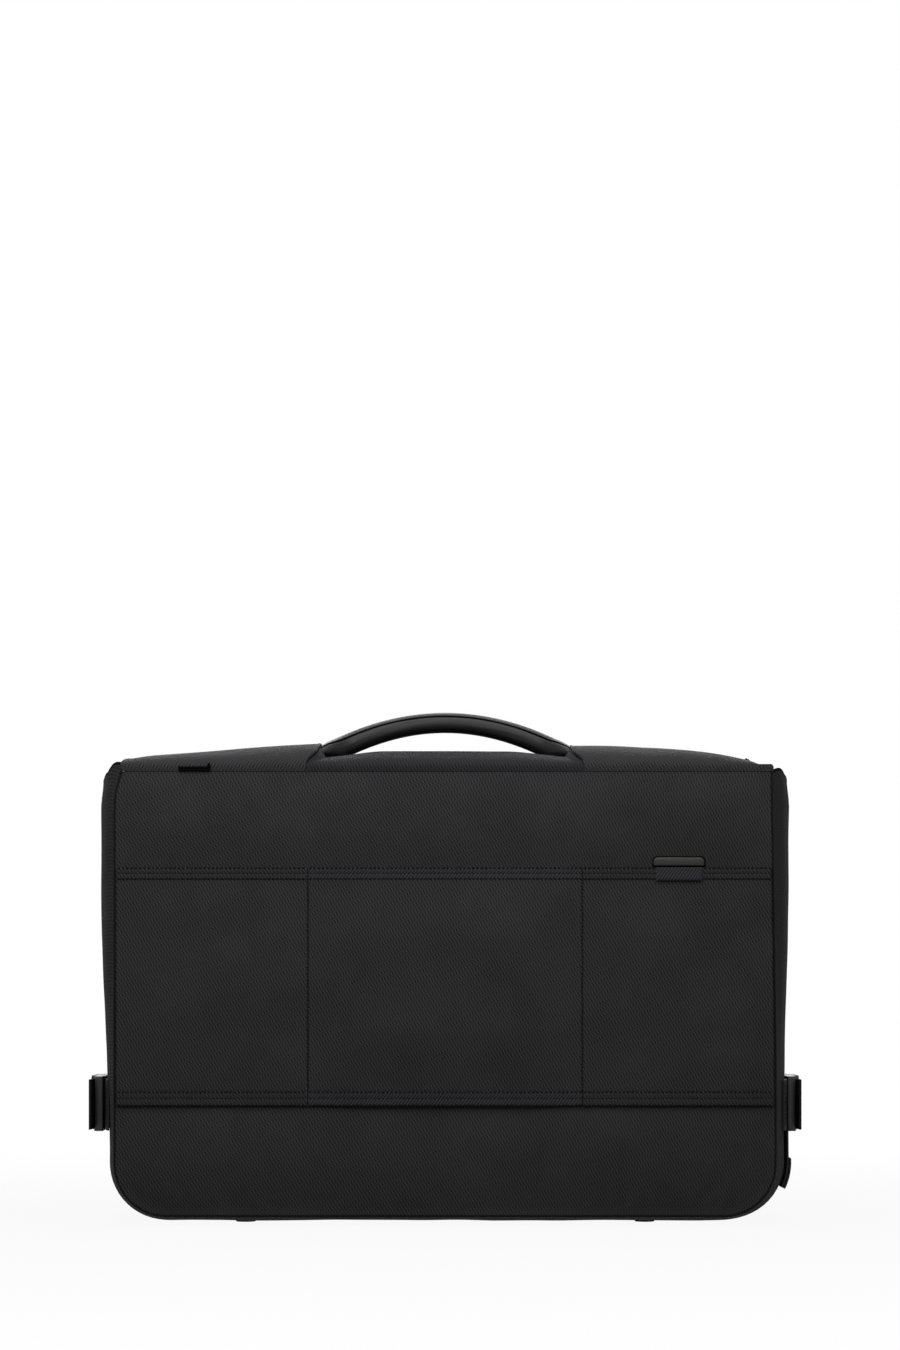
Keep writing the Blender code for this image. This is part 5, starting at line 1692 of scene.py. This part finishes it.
@dataclass
class FrontPocket:
    """The zipped pocket on the front panel: padded cloth, tapes, coil, slider and pull."""

    thick: float = 0.0014
    swell: float = 0.0026
    pressure: float = 2.0
    cap: float = 0.0012
    seam_hold: float = 0.006
    seam_inset: float = 0.0035
    tooth_pitch: float = 0.0020
    tooth: tuple[float, float, float] = (0.0011, 0.0013, 0.0026)
    cord_radius: float = 0.0006
    bridge_radius: float = 0.0019
    bridge_wire: float = 0.0006
    eye_half: float = 0.0024
    eye: tuple[float, float] = (-0.0034, -0.0008)
    grip_groove: float = 0.00025

    def build(self) -> None:
        """Build the pocket and its zip."""
        self.build_panel()
        for level in ("lower", "upper"):
            self.build_tape("zip_tape_" + level)
        self.build_coil()
        self.build_slider()
        self.build_pull()

    def build_panel(self) -> Object:
        """Build the pocket's padded cloth and the stitches along its three sewn sides."""
        low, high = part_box("front_pocket")
        wide, tall = high.x - low.x, high.z - low.z

        def place(along: float, up: float) -> tuple[float, float, float]:
            """A point on the outer face, which swells over the empty pocket."""
            x, z = low.x + wide * along, low.z + tall * up
            uneven = 1 + 0.25 * ripple((x, 0.0, z), 0.08, 11.0)
            swell = self.swell * max(0.0, sin(pi * along) * sin(pi * up)) ** 0.7 * uneven
            return (x, low.y + self.thick + swell, z)

        def sewn(point: Vector) -> bool:
            """Tell a point that is close to the pocket's edge."""
            inside = min(point.x - low.x, high.x - point.x, point.z - low.z, high.z - point.z)
            return inside < self.seam_hold

        piece = drape("pocket_cloth", 96, 60, place)
        inflate(piece, sewn, -self.pressure, self.cap)
        thicken(piece, self.thick, 1.0)
        dress(face_outwards(piece), OUTER_CLOTH)
        seat(piece, "front_section", "twill", "front_pocket")
        aside, above = self.seam_inset / wide, self.seam_inset / tall
        route = [(aside, 1.0), (aside, above), (1 - aside, above), (1 - aside, 1.0)]
        line = []
        for start, end in zip(route, route[1:]):
            line += [place(start[0] + (end[0] - start[0]) * step / 40,
                           start[1] + (end[1] - start[1]) * step / 40)
                     for step in range(41)]
        seat(dress(stitch_row("pocket_stitches", line, (0, 1, 0)), THREAD), "front_section", "webbing")
        return piece

    def build_tape(self, node: str) -> Object:
        """Build one woven zip tape with its stitch row."""
        low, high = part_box(node)
        depth = high.y - low.y

        def place(along: float, up: float) -> tuple[float, float, float]:
            """A point on the tape's outer face, rolled down at its edges."""
            edge = smooth(min(up, 1 - up) / 0.15)
            return (low.x + (high.x - low.x) * along, high.y - depth * 0.4 * (1 - edge),
                    low.z + (high.z - low.z) * up)

        piece = thicken(drape(node + "_cloth", 100, 12, place), depth * 0.55, 1.0)
        seat(dress(face_outwards(piece), BAND_CLOTH), "front_section", "webbing", node)
        outer = 0.25 if node.endswith("lower") else 0.75
        line = [place(step / 40, outer) for step in range(41)]
        seat(dress(stitch_row(node + "_stitches", line, (0, 1, 0)), THREAD), "front_section", "webbing")
        return piece

    def build_coil(self) -> Object:
        """Build the interlocked coil: two rows of small loops and the cords inside them."""
        low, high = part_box("zip_coil")
        middle = (low + high) / 2
        size = Vector(self.tooth)
        master = block("coil_loop", -size / 2, size / 2, size.x * 0.3, 1)
        count = int((high.x - low.x) / self.tooth_pitch) - 1
        offset = (high.z - low.z - size.z) / 2
        places = []
        for row in (-1, 1):
            for step in range(count):
                x = low.x + self.tooth_pitch * (step + 0.75 + 0.25 * row)
                places.append(Matrix.Translation((x, middle.y, middle.z + row * offset)))
        piece = repeat("zip_coil_loops", master, places)
        seat(dress(piece, ACETAL), "front_section", "acetal", "zip_coil")
        for word, row in (("lower", -1), ("upper", 1)):
            z = middle.z + row * (high.z - low.z) / 2
            points = [(low.x + (high.x - low.x) * step / 60, middle.y, z) for step in range(61)]
            cord = tube("zip_cord_" + word, points, self.cord_radius, 1)
            seat(dress(cord, BINDING_CLOTH), "front_section", "webbing")
        return piece

    def pivot(self) -> Vector:
        """The point that the pull swings about."""
        low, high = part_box("zip_pull")
        slider_low, slider_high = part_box("zip_slider")
        return Vector(((low.x + high.x) / 2, (low.y + high.y) / 2, (slider_low.z + slider_high.z) / 2))

    def build_slider(self) -> Object:
        """Build the slider's body, with its waisted nose, and the bridge that holds the pull."""
        low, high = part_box("zip_slider")
        piece = block("zip_slider_body", low, high, 0.0009, 3)
        waist = high.z - low.z
        for vertex in piece.data.vertices:
            along = (vertex.co.x - low.x) / (high.x - low.x)
            narrow = 1 - 0.22 * smooth((0.55 - along) / 0.5)
            vertex.co.z = (low.z + high.z) / 2 + (vertex.co.z - low.z - waist / 2) * narrow
        seat(dress(piece, STEEL), "zip_slider", "steel", "zip_slider")
        centre = self.pivot()
        angles = [radians(-125 + 250 * step / 16) for step in range(17)]
        points = [(centre.x, centre.y + self.bridge_radius * cos(a), centre.z + self.bridge_radius * sin(a))
                  for a in angles]
        bridge = tube("zip_slider_bridge", points, self.bridge_wire, 2)
        seat(dress(bridge, STEEL), "zip_slider", "steel")
        return piece

    def build_pull(self) -> Object:
        """Build the pull: a rounded plate with an eye for the bridge and a sunken grip."""
        low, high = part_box("zip_pull")
        centre = self.pivot()
        piece = softened("zip_pull_tab", "zip_pull", 0.00025)
        eye = block("pull_eye", (centre.x - self.eye_half, low.y - 0.001, centre.z + self.eye[0]),
                    (centre.x + self.eye_half, high.y + 0.001, centre.z + self.eye[1]))
        cut_or_join(piece, eye, "DIFFERENCE")
        foot = low.z + 0.0035
        grip = block("pull_grip", (centre.x - 0.0022, high.y - self.grip_groove, foot),
                     (centre.x + 0.0022, high.y + 0.001, foot + 0.011), 0.0002, 1)
        cut_or_join(piece, grip, "DIFFERENCE")
        return seat(dress(piece, STEEL), "zip_pull", "steel", "zip_pull")


@dataclass
class InnerFittings:
    """What the bag holds inside: boards, roll bar, handle core and hanger clamp."""

    edge: float = 0.0004

    def build(self) -> None:
        """Dress the nodes that stay and round the moulded fittings."""
        for facing in Facing:
            dress_node(facing.word + "_stiffener_board", BOARD_PLASTIC)
        dress_node("roll_bar", BOARD_PLASTIC)
        dress_node("handle_core", STEEL)
        fittings = [("hanger_clamp_base", "front_section"), ("hanger_clamp_lever", "hanger_lever")]
        for side in Side:
            fittings += [("roll_bar_bracket_" + side.word, "spine"), ("handle_anchor_" + side.word, "spine")]
        for node, body in fittings:
            piece = dress(softened(node + "_moulding", node, self.edge), ACETAL)
            seat(piece, body, "acetal", node)


@dataclass
class Studio:
    """Pale floor, soft light and the camera at the photograph's viewing angle."""

    ambient: float = 0.19
    lamps: tuple[tuple[str, tuple[float, float, float], tuple[float, float], float], ...] = (
        ("front_softbox", (-0.05, -0.70, 0.95), (1.2, 0.9), 17.0),
        ("top_softbox", (0.0, 0.05, 1.25), (1.2, 0.6), 4.0),
        ("back_softbox", (0.0, 1.10, 0.75), (1.1, 0.5), 9.0))
    floor_near: float = 0.30
    floor_far: float = 1.10
    floor_white: tuple[float, float] = (0.93, 1.0)
    camera_place: tuple[float, float, float] = (0.0037, -2.9, 0.195)
    focal_mm: float = 100.0
    sensor_mm: float = 36.0
    shift_up: float = 0.2152

    def build(self) -> None:
        """Set up the floor, the world, the lamps and the camera."""
        bpy.context.scene.view_settings.view_transform = "Standard"
        self.build_floor()
        self.build_world()
        for name, place, size, power in self.lamps:
            self.build_lamp(name, place, size, power)
        self.build_camera()

    def backdrop_flag(self, tree: bpy.types.NodeTree) -> bpy.types.NodeSocket:
        """One where a ray from the camera, a reflection or a refraction meets the backdrop."""
        path = add_node(tree, "ShaderNodeLightPath")
        flag = path.outputs["Is Camera Ray"]
        for word in ("Is Glossy Ray", "Is Transmission Ray"):
            either = add_node(tree, "ShaderNodeMath", {"operation": "MAXIMUM"},
                              {0: flag, 1: path.outputs[word]})
            flag = either.outputs["Value"]
        return flag

    def build_floor(self) -> None:
        """Lay a floor that keeps a faint shadow near the bag and fades to white away from it."""
        deselect_all()
        bpy.ops.mesh.primitive_plane_add(size=30.0)
        floor = bpy.context.object
        floor.name = "studio_floor"
        material = bpy.data.materials.new("white_studio_floor")
        material.use_nodes = True
        tree = material.node_tree
        tree.nodes.clear()
        plain = add_node(tree, "ShaderNodeBsdfDiffuse", {"Color": hex_to_linear("#8c8c8c")})
        glow = add_node(tree, "ShaderNodeEmission", {"Color": hex_to_linear("#ffffff"), "Strength": 1.0})
        place = add_node(tree, "ShaderNodeTexCoord")
        away = add_node(tree, "ShaderNodeVectorMath", {"operation": "LENGTH"}, {0: place.outputs["Object"]})
        white = add_node(tree, "ShaderNodeMapRange",
                         {"From Min": self.floor_near, "From Max": self.floor_far,
                          "To Min": self.floor_white[0], "To Max": self.floor_white[1]},
                         {"Value": away.outputs["Value"]})
        shaded = add_node(tree, "ShaderNodeMixShader",
                          links={0: white.outputs["Result"], 1: plain.outputs[0], 2: glow.outputs[0]})
        seen = add_node(tree, "ShaderNodeMixShader",
                        links={0: self.backdrop_flag(tree), 1: plain.outputs[0], 2: shaded.outputs[0]})
        add_node(tree, "ShaderNodeOutputMaterial", links={"Surface": seen.outputs[0]})
        floor.data.materials.append(material)

    def build_world(self) -> None:
        """Set a white surround that lights the bag at a plain level."""
        world = bpy.data.worlds.new("white_studio")
        bpy.context.scene.world = world
        world.use_nodes = True
        tree = world.node_tree
        sky = tree.nodes["Background"]
        sky.inputs["Color"].default_value = hex_to_linear("#ffffff")
        strength = add_node(tree, "ShaderNodeMapRange", {"To Min": self.ambient, "To Max": 1.0},
                            {"Value": self.backdrop_flag(tree)})
        tree.links.new(strength.outputs["Result"], sky.inputs["Strength"])

    def build_lamp(self, name: str, place: Sequence[float], size: Sequence[float], power: float) -> None:
        """Hang a soft rectangular lamp that faces the bag."""
        lamp = bpy.data.lights.new(name, "AREA")
        lamp.shape = "RECTANGLE"
        lamp.size, lamp.size_y = size
        lamp.energy = power
        holder = bpy.data.objects.new(name, lamp)
        holder.location = place
        aim = Vector((0.0, 0.0, 0.2)) - Vector(place)
        holder.rotation_euler = aim.to_track_quat("-Z", "Y").to_euler()
        bpy.context.scene.collection.objects.link(holder)

    def build_camera(self) -> None:
        """Place the camera level with the bag's middle, with the frame raised by its shift."""
        lens = bpy.data.cameras.new("product_camera")
        lens.sensor_fit = "VERTICAL"
        lens.sensor_height = self.sensor_mm
        lens.lens = self.focal_mm
        lens.shift_y = self.shift_up
        camera = bpy.data.objects.new("product_camera", lens)
        camera.location = self.camera_place
        camera.rotation_euler = (pi / 2, 0.0, 0.0)
        bpy.context.scene.collection.objects.link(camera)
        bpy.context.scene.camera = camera


def span_of(*nodes: str) -> tuple[Vector, Vector]:
    """Lowest and highest corners of several nodes together."""
    boxes = [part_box(node) for node in nodes]
    low = Vector([min(box[0][axis] for box in boxes) for axis in range(3)])
    high = Vector([max(box[1][axis] for box in boxes) for axis in range(3)])
    return low, high


def main() -> None:
    """Build every sub-assembly in order."""
    logging.basicConfig(level=logging.INFO, format="%(message)s")
    Studio().build()
    shape = BagShape.from_frame()
    Section(shape, Facing.REAR, span_of("belt_panel_left", "belt_panel_right")).build()
    Section(shape, Facing.FRONT, span_of("front_pocket", "zip_tape_upper")).build()
    TrolleyBelt(shape).build()
    Badge().build()
    SpineDome.from_frame(shape).build()
    FoldTapes(shape).build()
    CarryHandle().build()
    SideStraps(shape).build()
    FrontPocket().build()
    InnerFittings().build()


if __name__ == "__main__":
    main()
